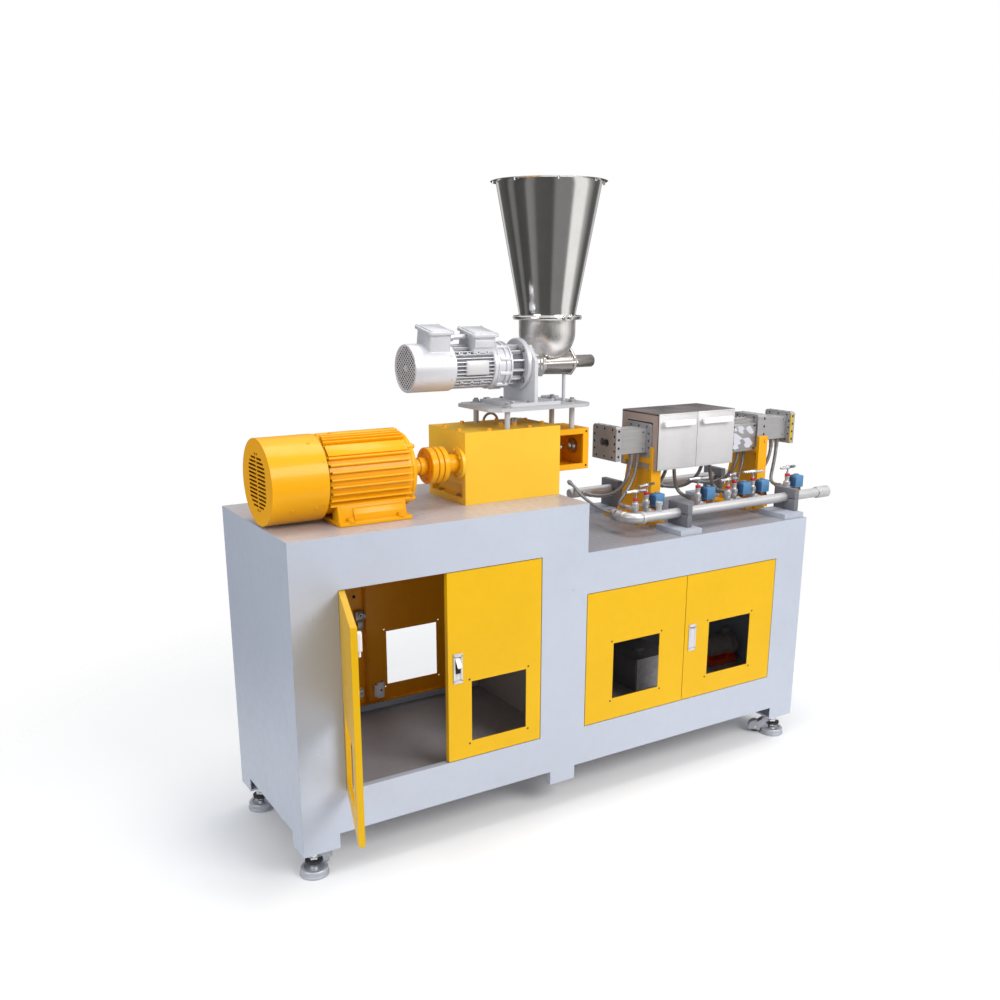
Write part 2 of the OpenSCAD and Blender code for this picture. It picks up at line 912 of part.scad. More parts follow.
module caster_wheel() {
    difference() {
        union() {
            rod_y([wheel_x, -wheel_w / 2, axle_z], wheel_r, wheel_w);
            rod_y([wheel_x, -wheel_w / 2 - over, axle_z], wheel_r / 2, wheel_w + 2 * over);
        }
        rod_y([wheel_x, -wheel_w, axle_z], axle_r + fit, 2 * wheel_w);
    }
}

// Each caster is turned so that its wheel points towards the middle of the cabinet.
module caster_place(i) {
    placed() translate(caster_at[i]) rotate([0, 0, caster_turn[i]]) children();
}

module caster_1() { color(silver_paint) caster_place(0) caster_housing(); }
module caster_2() { color(silver_paint) caster_place(1) caster_housing(); }
module caster_3() { color(silver_paint) caster_place(2) caster_housing(); }
module caster_4() { color(silver_paint) caster_place(3) caster_housing(); }
module caster_wheel_1() { color(dark) caster_place(0) caster_wheel(); }
module caster_wheel_2() { color(dark) caster_place(1) caster_wheel(); }
module caster_wheel_3() { color(dark) caster_place(2) caster_wheel(); }
module caster_wheel_4() { color(dark) caster_place(3) caster_wheel(); }

// Main motor

// Ribbed cross section: a core circle with fins that reach the outer radius
module ribbed(core, outer, fins, fin) {
    circle(r = core);
    for (i = [0 : fins - 1]) rotate(360 / fins * (i + 0.5)) translate([0, -fin / 2]) square([outer, fin]);
}

// Extrudes a flat shape along X, with its first axis along Y and its second along Z
module along_x(at, l) {
    translate(at) rotate([90, 0, 90]) linear_extrude(l) children();
}

module motor_body() {
    color(drive_yellow) placed() difference() {
        union() {
            along_x([body_x, motor_y, motor_z], motor_l) difference() {
                ribbed(motor_r * fin_core_share, motor_r - cowl_t, motor_fins, fin_w);
                translate([-motor_r, -motor_r - over])
                    square([2 * motor_r, over + motor_r - motor_axis_h + foot_t]);
            }
            rod_x([body_x - spigot_l, motor_y, motor_z], motor_r - cowl_t - air, spigot_l);
            rod_x([body_end, motor_y, motor_z], shield_r, shield_l);
            rod_x([body_end + shield_l, motor_y, motor_z], shield_r / 2, spigot_l);
            block([foot_x, motor_y - foot_w / 2, cab_h],
                [foot_x + foot_l, motor_y + foot_w / 2, cab_h + foot_t]);
            along_x([foot_x, motor_y, cab_h], foot_l) polygon([[-pedestal_w / 2, 0], [pedestal_w / 2, 0],
                [pedestal_top_w / 2, pedestal_h], [-pedestal_top_w / 2, pedestal_h]]);
            for (x = [foot_x + foot_bolt_in, foot_x + foot_l - foot_bolt_in])
                for (y = [-1, 1])
                    rod_z([x, motor_y + y * (foot_w / 2 - foot_bolt_r - sheet), cab_h], foot_bolt_r,
                        foot_t + foot_bolt_h, 6);
            block([body_end - lug_l, motor_y - lug_w / 2, motor_z],
                [body_end, motor_y + lug_w / 2, motor_z + motor_r]);
        }
        rod_x([body_x - spigot_l - over, motor_y, motor_z], shaft_r + fit, motor_l + 3 * shield_l + over);
    }
}

module slot_column(side) {
    rows = floor(grille_ring_r / grille_pitch);
    for (i = [-rows : rows]) {
        half = sqrt(max(grille_ring_r * grille_ring_r - i * i * grille_pitch * grille_pitch, 0));
        reach = min(half, grille_slot_w + grille_slot_h);
        if (reach > 2 * grille_slot_h)
            translate([side > 0 ? grille_slot_h / 2 : -reach, i * grille_pitch - grille_slot_h / 2])
                square([reach - grille_slot_h / 2, grille_slot_h]);
    }
}

module motor_cowl() {
    color(drive_yellow) placed() {
        along_x([cowl_x, motor_y, motor_z], cowl_t) difference() {
            circle(r = motor_r);
            slot_column(-1);
            slot_column(1);
        }
        along_x([cowl_x + cowl_t, motor_y, motor_z], cowl_l - cowl_t) difference() {
            circle(r = motor_r);
            circle(r = motor_r - cowl_t);
        }
        for (a = [-30, 30, 150, 210])
            translate([cowl_x + cowl_l - spigot_l, motor_y, motor_z]) rotate([a, 0, 0])
                rod_y([0, motor_r - cowl_t / 2, 0], foot_bolt_r / 2, cowl_t);
    }
}

module motor_rotor() {
    color(steel) placed() {
        rod_x([fan_x - fan_t, motor_y, motor_z], shaft_r, coupling_x + shaft_in - fan_x + fan_t);
        along_x([fan_x, motor_y, motor_z], fan_l) {
            circle(r = fan_hub_r);
            for (i = [0 : fan_blades - 1])
                rotate(360 / fan_blades * i) translate([0, -fan_t / 2]) square([fan_r - fan_t, fan_t]);
        }
        rod_x([fan_x + fan_l - over, motor_y, motor_z], fan_r, fan_t + over);
        rod_x([coupling_x - hub_r, motor_y, motor_z], hub_r, hub_r);
    }
}

module coupling() {
    color(drive_yellow) placed() difference() {
        union() {
            rod_x([coupling_x, motor_y, motor_z], coupling_r, coupling_l);
            rod_x([coupling_x + coupling_l, motor_y, motor_z], tube_r,
                gear_x - coupling_x - coupling_l + input_depth - sheet);
            for (i = [0 : ring_bolts - 1])
                translate([coupling_x + coupling_l, motor_y, motor_z]) rotate([360 / ring_bolts * i, 0, 0])
                    rod_x([0, (coupling_r + tube_r) / 2, 0], coupling_bolt_r, coupling_bolt_h, 6);
        }
        for (g = groove_x) translate([coupling_x + g, motor_y, motor_z]) rotate([0, 90, 0]) difference() {
            cylinder(h = groove_w, r = coupling_r + over);
            cylinder(h = groove_w, r = coupling_r - groove_d);
        }
        rod_x([coupling_x - over, motor_y, motor_z], shaft_r + fit, shaft_in + 2 * over);
    }
}

// Gearbox and lantern

module gearbox_case() {
    color(drive_yellow) placed() difference() {
        union() {
            block([gear_x, gear_y, cab_h], [lantern_x, gear_y + gear_w, gear_top]);
            rod_x([gear_x - ring_flange_t, motor_y, motor_z], ring_flange_r, ring_flange_t);
            for (i = [0 : ring_bolts - 1])
                translate([gear_x - ring_flange_t, motor_y, motor_z])
                    rotate([360 / ring_bolts * (i + 0.5), 0, 0])
                        rod_x([-ring_bolt_r, (ring_flange_r + tube_r) / 2, 0], ring_bolt_r, 2 * ring_bolt_r, 6);
        }
        block([gear_x - over, gear_y + pocket_in, cab_h + pocket_z],
            [gear_x + pocket_d, gear_y + gear_w - pocket_in, cab_h + pocket_z + pocket_h]);
        rod_x([gear_x - ring_flange_t - 2 * ring_bolt_r, motor_y, motor_z], tube_r + fit,
            ring_flange_t + 2 * ring_bolt_r + input_depth);
        for (s = [-1, 1])
            rod_x([lantern_x - out_in, axis_y + s * bore_pitch / 2, axis_z], out_r + fit, out_in + over);
    }
}

// Heads of the cover bolts along the edge of the gearbox top
bolt_shares = [[0, 0.25], [0, 0.72], [0.25, 0], [0.72, 0], [1, 0.3], [1, 0.8], [0.3, 1], [0.72, 1]];

module gearbox_fittings() {
    color(steel) placed() {
        for (p = bolt_shares)
            rod_z([gear_x + head_in + p[0] * (gear_l - 2 * head_in),
                gear_y + head_in + p[1] * (gear_w - 2 * head_in), gear_top], head_r, head_h, 6);
        for (p = pocket_bolt_share)
            rod_z([gear_x + pocket_d / 2, gear_y + p * gear_w, cab_h + pocket_z], head_r, head_h, 6);
        translate([gear_x + gear_l * breather_x_share, gear_y + gear_w * breather_y_share, gear_top]) {
            rod_z([0, 0, 0], breather_r, gauge_h, 6);
            rod_z([0, 0, gauge_h], breather_cap_r, breather_h - gauge_h);
        }
        rod_z([gear_x + gear_l * gauge_x_share, gear_y + gear_w * gauge_y_share, gear_top],
            breather_r, gauge_h);
        translate([gear_x + gear_l * lift_x_share, gear_y + gear_w * lift_y_share, gear_top]) {
            rotate([90, 0, 0]) rotate_extrude(angle = 180) translate([lift_r, 0]) circle(r = lift_wire_r);
        }
        difference() {
            rod_x([lantern_end - lantern_t - gland_t / 2, axis_y, axis_z], gland_r, gland_t);
            for (s = [-1, 1])
                rod_x([lantern_end - 2 * lantern_t, axis_y + s * bore_pitch / 2, axis_z],
                    gland_hole_r, 3 * lantern_t);
        }
    }
}

// Twelve holes of a section flange, centred on the barrel axis
module flange_holes(x, l, r) {
    for (s = [-1, 1]) {
        for (y = [-1, 0, 1])
            rod_x([x, axis_y + y * row_y_share * flange_w, axis_z + s * row_z_share * flange_h], r, l, 24);
        for (z = [-1, 0, 1])
            rod_x([x, axis_y + s * col_y_share * flange_w, axis_z + z * col_z_share * flange_h], r, l, 24);
    }
}

module lantern() {
    low_y = axis_y - lantern_w / 2;
    cx = lantern_x + lantern_l / 2;
    color(drive_yellow) placed() difference() {
        block([lantern_x, low_y, lantern_z], [lantern_end, low_y + lantern_w, lantern_z + lantern_h]);
        block([lantern_x + lantern_t, low_y + lantern_t, lantern_z + lantern_t],
            [lantern_end - lantern_t, low_y + lantern_w - lantern_t, lantern_z + lantern_h - lantern_t]);
        block([cx - lantern_window_w / 2, low_y - over, axis_z - lantern_window_h / 2],
            [cx + lantern_window_w / 2, low_y + 2 * lantern_t, axis_z + lantern_window_h / 2]);
        rod_x([lantern_x - over, axis_y, axis_z], gland_r + fit, 2 * lantern_t);
        rod_x([lantern_end - 2 * lantern_t, axis_y, axis_z], gland_r + fit, 3 * lantern_t);
        flange_holes(lantern_end - 2 * lantern_t, 3 * lantern_t, flange_hole_r);
        for (s = [-1, 1])
            for (z = [-1, 1])
                rod_y([cx + s * (lantern_l / 2 - lantern_t), low_y - over,
                    axis_z + z * (lantern_h / 2 - lantern_t)], flange_hole_r / 2, lantern_t / 2 + over);
    }
}

module output_shaft(s) {
    rod_x([lantern_x - out_in + sheet, axis_y + s * bore_pitch / 2, axis_z], out_r, out_in - sheet + out_l);
}

module output_shaft_1() { color(steel) placed() output_shaft(-1); }
module output_shaft_2() { color(steel) placed() output_shaft(1); }

// Barrel

module barrel_section(x) {
    end = x + section_l - joint_gap;
    difference() {
        union() {
            block([x, axis_y - body_s / 2, axis_z - body_s / 2],
                [end, axis_y + body_s / 2, axis_z + body_s / 2]);
            for (fx = [x, end - flange_t]) along_x([fx, axis_y, axis_z], flange_t) difference() {
                square([flange_w, flange_h], center = true);
                for (s = [-1, 1])
                    translate([s * flange_w / 2, flange_h / 2]) rotate(45)
                        square(flange_chamfer * sqrt(2), center = true);
            }
        }
        for (s = [-1, 1]) {
            rod_x([x - over, axis_y + s * bore_pitch / 2, axis_z], bore_r, section_l + 2 * over);
            for (z = [-1, 1])
                rod_y([end - flange_t - side_hole_in, axis_y - body_s / 2 - over,
                    axis_z + z * (body_s / 2 - side_hole_in)], side_hole_r, side_hole_d + over);
        }
        for (fx = [x - over, end - flange_t - over]) flange_holes(fx, flange_t + 2 * over, flange_hole_r);
    }
}

module barrel_sections() {
    color(steel) placed() for (i = [0 : sections - 1]) barrel_section(barrel_x + i * section_l);
}

// What a tip of the other screw leaves free as it sweeps past
module free_of_tip(a) {
    rotate(a) translate([screw_r + flank_gap, 0]) circle(r = bore_pitch);
}

module lobe() {
    tip = 45 - acos(bore_pitch / (2 * screw_r));
    intersection() {
        circle(r = screw_r);
        free_of_tip(90 - tip);
        free_of_tip(90);
        free_of_tip(90 + tip);
        free_of_tip(270 - tip);
        free_of_tip(270);
        free_of_tip(270 + tip);
    }
}

module extruder_screw(s) {
    l = barrel_end - joint_gap - screw_end - barrel_x - screw_in;
    step = l / elements;
    translate([barrel_x + screw_in, axis_y + s * bore_pitch / 2, axis_z]) rotate([90, 0, 90]) {
        cylinder(h = l, r = bore_pitch - screw_r - 2 * flank_gap);
        for (i = [0 : elements - 1])
            translate([0, 0, i * step + element_gap / 2]) rotate(i * element_turn + (s + 1) * 45)
                linear_extrude(step - element_gap) lobe();
    }
}

module screw_1() { color(steel) placed() extruder_screw(-1); }
module screw_2() { color(steel) placed() extruder_screw(1); }

module cover_handle(x) {
    y = axis_y - cover_w / 2;
    z = cover_top - handle_z;
    block([x, y - handle_d, z - handle_h / 2], [x + handle_l, y - handle_d + handle_t, z + handle_h / 2]);
    for (hx = [x, x + handle_l - handle_t])
        block([hx, y - handle_d, z - handle_h / 2], [hx + handle_t, y + cover_t / 2, z + handle_h / 2]);
}

// Sheet cover with an open bottom, whose ends are cut out for the flanges and for the support bars
module heater_cover(i) {
    x = barrel_x + cover_first + i * cover_pitch - cover_t;
    y = axis_y - cover_w / 2;
    z = cover_top - cover_h;
    flange_top = axis_z + flange_h / 2;
    stay_top = axis_z - bar_top;
    difference() {
        block([x, y, z], [x + cover_l, y + cover_w, cover_top]);
        block([x + cover_t, y + cover_t, z - over],
            [x + cover_l - cover_t, y + cover_w - cover_t, cover_top - cover_t]);
        block([x - over, axis_y - flange_w / 2 - cover_t, z - over],
            [x + cover_l + over, axis_y + flange_w / 2 + cover_t, flange_top + air]);
        block([x - over, axis_y - flange_w / 2 - bar_t - cover_t, z - over],
            [x + cover_l / 2, axis_y + flange_w / 2 + bar_t + cover_t, stay_top + cover_t]);
    }
    cover_handle(x + handle_x + (i == 1 ? cover_t : 0));
}

module heater_cover_1() { color(bright) placed() heater_cover(0); }
module heater_cover_2() { color(bright) placed() heater_cover(1); }

module junction_box() {
    x = barrel_x + 3 * section_l + (section_l - junction_w) / 2;
    y = axis_y - body_s / 2;
    z = axis_z - junction_z;
    color(bright) placed() {
        block([x, y - junction_d, z], [x + junction_w, y, z + junction_h]);
        for (sx = [junction_screw_in, junction_w - junction_screw_in])
            for (sz = [junction_screw_in, junction_h - junction_screw_in])
                rod_y([x + sx, y - junction_d - junction_screw_h, z + sz],
                    junction_screw_r, 2 * junction_screw_h);
        block([x + sensor_h, axis_y - sensor_w / 2, axis_z + body_s / 2],
            [x + sensor_h + sensor_l, axis_y + sensor_w / 2, axis_z + body_s / 2 + sensor_h]);
    }
}

// Fork that clamps a pair of flanges from both sides
module support(x) {
    low = axis_y - flange_w / 2;
    high = axis_y + flange_w / 2;
    top = axis_z - flange_h / 2;
    foot = low_h + base_t;
    block([x - flange_t, low - bar_t, low_h], [x + flange_t, low, axis_z - bar_top]);
    block([x - flange_t, high, top - saddle_h - bar_t], [x + flange_t, high + bar_t, axis_z - bar_top]);
    block([x - flange_t, low, top - saddle_h], [x + flange_t, high, top]);
    along_x([x - web_t / 2, 0, 0], web_t) polygon([[low - over, foot - over],
        [low - over, top - saddle_h + over], [high + bar_t, top - saddle_h],
        [high + bar_t, top - saddle_h - web_top_drop],
        [high + web_foot * web_knee_y_share, foot + (top - foot) * web_knee_z_share],
        [high + web_foot, foot - over]]);
    block([x - base_l / 2, low, low_h], [x + base_l / 2, high + web_foot + base_rim, foot]);
    for (z = [axis_z - bar_top - stay_bolt_r * 2, foot + stay_bolt_r * 3])
        rod_y([x + web_t, low - bar_t - stay_bolt_h / 2, z], stay_bolt_r, stay_bolt_h, 6);
    for (y = [low + saddle_h, high - saddle_h])
        rod_x([x - web_t / 2 - stay_bolt_h, y, top - 2 * saddle_h], stay_bolt_r, stay_bolt_h + over, 6);
    for (y = [low + 2 * stay_bolt_r, high + web_foot - stay_bolt_r])
        rod_z([x - base_l / 2 + 2 * stay_bolt_r, y, foot - over], stay_bolt_r, stay_bolt_h + over, 6);
}

module barrel_supports() {
    color(drive_yellow) placed() for (i = support_at) support(barrel_x + i * section_l - joint_gap / 2);
}

// Coolant pipes

module coolant_pipes() {
    inner = pipe_r - pipe_wall;
    start = elbow_x + elbow_r;
    union_y = front_pipe_y + elbow_r + union_gap;
    color(steel) placed() {
        difference() {
            union() {
                rod_x([start, front_pipe_y, front_pipe_z], pipe_r, pipe_end_x - start);
                rod_x([pipe_end_x - over, front_pipe_y, front_pipe_z], pipe_nut_r, pipe_nut_l + over);
                rod_x([start - over, front_pipe_y, front_pipe_z], pipe_nut_r, 2 * over + cap_r);
                translate([start, front_pipe_y + elbow_r, front_pipe_z]) rotate([0, 0, 180])
                    rotate_extrude(angle = 90) translate([elbow_r, 0]) circle(r = pipe_r);
                rod_y([elbow_x, front_pipe_y + elbow_r, front_pipe_z], pipe_r, union_gap);
                rod_y([elbow_x, union_y - cap_r, front_pipe_z], union_r, cap_r, 6);
                rod_y([elbow_x, union_y, front_pipe_z], union_r - over, union_l - over);
                rod_z([elbow_x + elbow_r + port_tap_x, front_pipe_y, front_pipe_z],
                    port_tap_r, pipe_r + port_tap_h - cap_h);
                rod_z([elbow_x + elbow_r + port_tap_x, front_pipe_y, front_pipe_z + pipe_r + port_tap_h - cap_h],
                    cap_r, cap_h);
                for (i = [0 : len(valve_x) - 1])
                    rod_y([valve_x[i], front_pipe_y, front_pipe_z], socket_r,
                        valve_y[i] - valve_r - sheet - front_pipe_y);
            }
            rod_x([start, front_pipe_y, front_pipe_z], inner, pipe_end_x + pipe_nut_l + over - start);
            translate([start, front_pipe_y + elbow_r, front_pipe_z]) rotate([0, 0, 180])
                rotate_extrude(angle = 90) translate([elbow_r, 0]) circle(r = inner);
            rod_y([elbow_x, front_pipe_y + elbow_r, front_pipe_z], inner, union_gap);
        }
        difference() {
            union() {
                rod_x([rear_pipe_x, rear_pipe_y, rear_pipe_z], pipe_r, pipe_end_x - rear_pipe_x);
                for (i = [0 : sections - 1])
                    rod_y([barrel_x + i * section_l + port_a - return_shift,
                        rear_pipe_y - pipe_r - rear_socket_l + hose_nut_l, rear_pipe_z],
                        socket_r, pipe_r + rear_socket_l - hose_nut_l);
            }
            rod_x([rear_pipe_x + rear_cap_t, rear_pipe_y, rear_pipe_z], inner, pipe_end_x - rear_pipe_x);
        }
    }
}

// One clamp: two halves that close round a pipe
module clamp(x, y, z, low, high) {
    for (half = [0, 1]) difference() {
        block([x - clamp_t / 2, low, half == 0 ? low_h + clamp_pad_h : z + clamp_split / 2],
            [x + clamp_t / 2, high, half == 0 ? z - clamp_split / 2 : z + pipe_r + clamp_over]);
        rod_x([x - clamp_t, y, z], pipe_r + fit, 2 * clamp_t);
    }
}

module pipe_clamps() {
    color(clamp_grey) placed() for (x = clamp_at) {
        clamp(x, front_pipe_y, front_pipe_z, front_pipe_y - clamp_w / 2, front_pipe_y + clamp_w / 2);
        clamp(x, rear_pipe_y, rear_pipe_z, rear_pipe_y - clamp_w / 2, rear_pipe_y + clamp_w / 2);
    }
}

// Tube swept along points: rings stand square to the route
function unit(v) = v / norm(v);
function bend(a, b, c, d, t) = pow(1 - t, 3) * a + 3 * pow(1 - t, 2) * t * b
    + 3 * (1 - t) * t * t * c + pow(t, 3) * d;
function way(p, i) = unit(p[i + 1] - p[i]) + unit(p[i] - p[i - 1]);
function side_of(ways, i) = unit(cross(ways[i], [1, 0, 0]));

module tube(p, r, sides, first, last) {
    n = len(p);
    ways = [for (i = [0 : n - 1]) i == 0 ? first : i == n - 1 ? last : unit(way(p, i))];
    rings = [for (i = [0 : n - 1]) let (u = side_of(ways, i), v = cross(ways[i], u))
        for (k = [0 : sides - 1]) p[i] + r * (cos(360 / sides * k) * u + sin(360 / sides * k) * v)];
    walls = [for (i = [0 : n - 2]) for (k = [0 : sides - 1])
        let (a = i * sides + k, b = i * sides + (k + 1) % sides)
            for (f = [[a, b, b + sides], [a, b + sides, a + sides]]) f];
    caps = concat([for (k = [1 : sides - 2]) [0, k + 1, k]],
        [for (k = [1 : sides - 2]) [(n - 1) * sides, (n - 1) * sides + k, (n - 1) * sides + k + 1]]);
    polyhedron(points = rings, faces = [for (f = concat(walls, caps)) [f[2], f[1], f[0]]], convexity = 4);
}

module hose(a, lead_a, b, lead_b) {
    p = [for (i = [0 : hose_rings - 1]) bend(a, a + lead_a, b + lead_b, b, i / (hose_rings - 1))];
    tube(p, hose_r, hose_sides, unit(lead_a), -unit(lead_b));
}

module cooling_hoses() {
    drop_z = axis_z - body_s / 2 - fitting_h;
    rear_y = rear_pipe_y - pipe_r - rear_socket_l;
    color(bright) placed() for (i = [0 : sections - 1]) {
        ax = barrel_x + i * section_l + port_a;
        bx = barrel_x + i * section_l + port_b;
        vx = valve_x[fed_by[i]];
        hose([ax, port_y, drop_z], [0, 0, -drop_lead],
            [ax - return_shift, rear_y, rear_pipe_z], [0, -rear_lead, 0]);
        hose([bx, port_y, drop_z], [0, 0, -drop_lead],
            [vx, nut_y + hose_nut_l, front_pipe_z + port_z], [0, front_lead, 0]);
        for (x = [ax, bx]) rod_z([x, port_y, drop_z], hose_nut_r, fitting_h, 24);
        rod_y([ax - return_shift, rear_y, rear_pipe_z], hose_nut_r, hose_nut_l, 24);
        rod_y([vx, nut_y, front_pipe_z + port_z], hose_nut_r, hose_nut_l, 24);
    }
}

module loose_hose() {
    n = len(loose_route);
    color(bright) placed() tube(loose_route, loose_r, hose_sides, [0, 1, 0],
        unit(loose_route[n - 1] - loose_route[n - 2]));
}

module loose_hose_nut() {
    n = len(loose_route);
    way = unit(loose_route[n - 1] - loose_route[n - 2]);
    color(bright) placed() translate(loose_route[n - 1])
        rotate([0, 0, atan2(way[1], way[0])]) rotate([0, acos(way[2]), 0])
            cylinder(h = loose_nut_l, r = loose_nut_r, $fn = 6);
}

// Valves

module valve_body(i) {
    x = valve_x[i];
    y = valve_y[i];
    top = low_h + valve_top[i];
    difference() {
        union() {
            rod_z([x, y, front_pipe_z - valve_foot], valve_r,
                top - valve_ring_h - front_pipe_z + valve_foot);
            rod_z([x, y, front_pipe_z + port_z + port_r + over], valve_hex_r, valve_hex_h, 6);
            rod_z([x, y, top - valve_ring_h], valve_ring_r, valve_ring_h);
            rod_y([x, y - valve_r - sheet, front_pipe_z], socket_r + over, valve_r + sheet);
            if (len(search(i, plugged)) == 0)
                rod_y([x, y, front_pipe_z + port_z], port_r, nut_y - y);
            else
                rod_y([x, y, front_pipe_z + port_z], port_r, valve_r + plug_l, 6);
        }
        rod_z([x, y, top - stem_in], stem_rod_r + fit, stem_in + over);
    }
}

module brass_body(i) {
    x = unit_at[i];
    cx = x + coil_dx;
    cy = unit_y - coil_dy;
    rod_x([x, cy, front_pipe_z], port_r, coil_dx);
    block([cx - brass_s / 2, cy - brass_s / 2, front_pipe_z - brass_h / 2],
        [cx + brass_s / 2, cy + brass_s / 2, front_pipe_z + brass_h / 2]);
}

module coolant_valves() {
    color(steel) placed() {
        for (i = [0 : len(valve_x) - 1]) valve_body(i);
        for (i = [0 : len(unit_at) - 1]) brass_body(i);
    }
}

module solenoid_coils() {
    color(coil_blue) placed() for (x = unit_at) {
        cx = x + coil_dx;
        cy = unit_y - coil_dy;
        z = front_pipe_z + brass_h / 2;
        block([cx - coil_l / 2, cy - coil_w / 2, z], [cx + coil_l / 2, cy + coil_w / 2, z + coil_h]);
        rod_z([cx, cy, z + coil_h - over], coil_screw_r, coil_screw_h + over);
    }
}

module valve_handle(i) {
    top = low_h + valve_top[i];
    color(bright) placed() translate([valve_x[i], valve_y[i], 0]) {
        rod_z([0, 0, top - stem_in + sheet], stem_rod_r, stem_in - sheet + stem_l);
        translate([0, 0, top + stem_l]) rotate([0, 0, handle_turn[i]]) {
            rod_x([-bar_l / 2, 0, 0], bar_r, bar_l);
            sphere(r = hub_ball_r);
        }
    }
}

module valve_handle_1() { valve_handle(0); }
module valve_handle_2() { valve_handle(1); }
module valve_handle_3() { valve_handle(2); }
module valve_handle_4() { valve_handle(3); }
module valve_handle_5() { valve_handle(4); }
module valve_handle_6() { valve_handle(5); }
module valve_handle_7() { valve_handle(6); }

// Water tank and pump inside the low part of the cabinet
module cooling_unit() {
    pump_z = floor_h + pump_base_h + pump_r - pump_sink;
    color(steel) placed() {
        block([tank_x, tank_y, floor_h], [tank_x + tank_l, tank_y + tank_w, floor_h + tank_h]);
        rod_z([tank_x + tank_l / 2, tank_y + tank_w / 2, floor_h + tank_h], tank_cap_r, tank_cap_h);
        block([pump_x, pump_y - pump_r, floor_h],
            [pump_x + pump_l + pump_volute_l, pump_y + pump_r, floor_h + pump_base_h]);
        rod_x([pump_x, pump_y, pump_z], pump_r, pump_l);
        rod_x([pump_x + pump_l, pump_y, pump_z], pump_volute_r, pump_volute_l);
        rod_z([pump_x + pump_l + pump_volute_l / 2, pump_y, pump_z], pump_port_r, pump_volute_r + plug_l);
    }
}

// Feeder

module feeder_platform() {
    low = axis_y - platform_w / 2;
    high = axis_y + platform_w / 2;
    end = platform_x + platform_l;
    c = platform_chamfer;
    posts = [[post_rear_x, low + post_rear_in, gear_top], [post_rear_x, high - post_rear_in, gear_top],
        [post_front_x, axis_y - lantern_w / 2 + post_front_in, lantern_z + lantern_h],
        [post_front_x, axis_y + lantern_w / 2 - post_front_in, lantern_z + lantern_h]];
    color(silver_paint) placed() {
        translate([0, 0, platform_z]) linear_extrude(platform_t) polygon([[platform_x + c, low],
            [end - c, low], [end, low + c], [end, high - c], [end - c, high], [platform_x + c, high],
            [platform_x, high - c], [platform_x, low + c]]);
        for (p = posts) {
            rod_z(p, post_r, platform_z - p[2] + over);
            rod_z([p[0], p[1], platform_top - over], post_nut_r, post_nut_h + over, 6);
        }
        rod_z([disc_x, disc_y, platform_top - over], disc_r, disc_h + over);
    }
}

module feeder_bracket() {
    low = axis_y - slab_w / 2;
    foot = platform_top + slab_t;
    color(silver_paint) placed() {
        block([slab_x, low, platform_top], [slab_x + slab_l, low + slab_w, foot]);
        difference() {
            along_x([upright_x, axis_y, platform_top], upright_t) polygon([[-slab_w / 2, slab_t - over],
                [slab_w / 2, slab_t - over], [slab_w / 2, upright_shoulder + slab_t], [upright_top_w / 2, upright_top],
                [-upright_top_w / 2, upright_top], [-slab_w / 2, upright_shoulder + slab_t]]);
            rod_x([upright_x - over, axis_y, feeder_z], drive_r + air, upright_t + 2 * over);
        }
        for (x = [slab_x + head_in, slab_x + slab_l - head_in])
            for (y = [low + head_in, low + slab_w - head_in])
                rod_z([x, y, foot - over], head_r, head_h + over, 6);
        rod_z([prop_x, axis_y, platform_top], prop_r, feeder_z - trough_r - platform_top);
    }
}

reducer_x = upright_x - reducer_disc_t - reducer_neck_l - 2 * reducer_ring_l;
fm_x = reducer_x - fm_body_l - fm_cowl_l;

module feeder_box(size, top) {
    x = fm_x + size[0];
    w = size[2] * box_base_share;
    block([x + box_lid_t / 2, axis_y - w / 2, feeder_z],
        [x + size[1] - box_lid_t / 2, axis_y + w / 2, feeder_z + top]);
    block([x, axis_y - size[2] / 2, feeder_z + top - box_lid_t],
        [x + size[1], axis_y + size[2] / 2, feeder_z + top]);
}

module feeder_motor() {
    color(silver_paint) placed() difference() {
        union() {
            along_x([fm_x, axis_y, feeder_z], fm_cowl_t) {
                difference() {
                    circle(r = fm_r);
                    circle(r = fm_r * fm_core_share);
                }
                intersection() {
                    circle(r = fm_r);
                    for (a = [45, -45]) rotate(a)
                        for (i = [-fm_bars : fm_bars])
                            translate([i * fm_grille_pitch - fm_bar_w / 2, -fm_r])
                                square([fm_bar_w, 2 * fm_r]);
                }
            }
            difference() {
                rod_x([fm_x + fm_cowl_t, axis_y, feeder_z], fm_r, fm_cowl_l - fm_cowl_t);
                rod_x([fm_x, axis_y, feeder_z], fm_r - fm_cowl_t, fm_cowl_l / 2);
            }
            along_x([fm_x + fm_cowl_l, axis_y, feeder_z], fm_body_l)
                ribbed(fm_r * fm_core_share, fm_r * fm_fin_share, fm_fins, fm_fin_w);
            difference() {
                union() {
                    feeder_box(box_a, box_a_top);
                    feeder_box(box_b, box_b_top);
                }
                rod_x([fm_x, axis_y, feeder_z], fm_r - fm_cowl_t, fm_cowl_l / 2);
            }
        }
    }
}

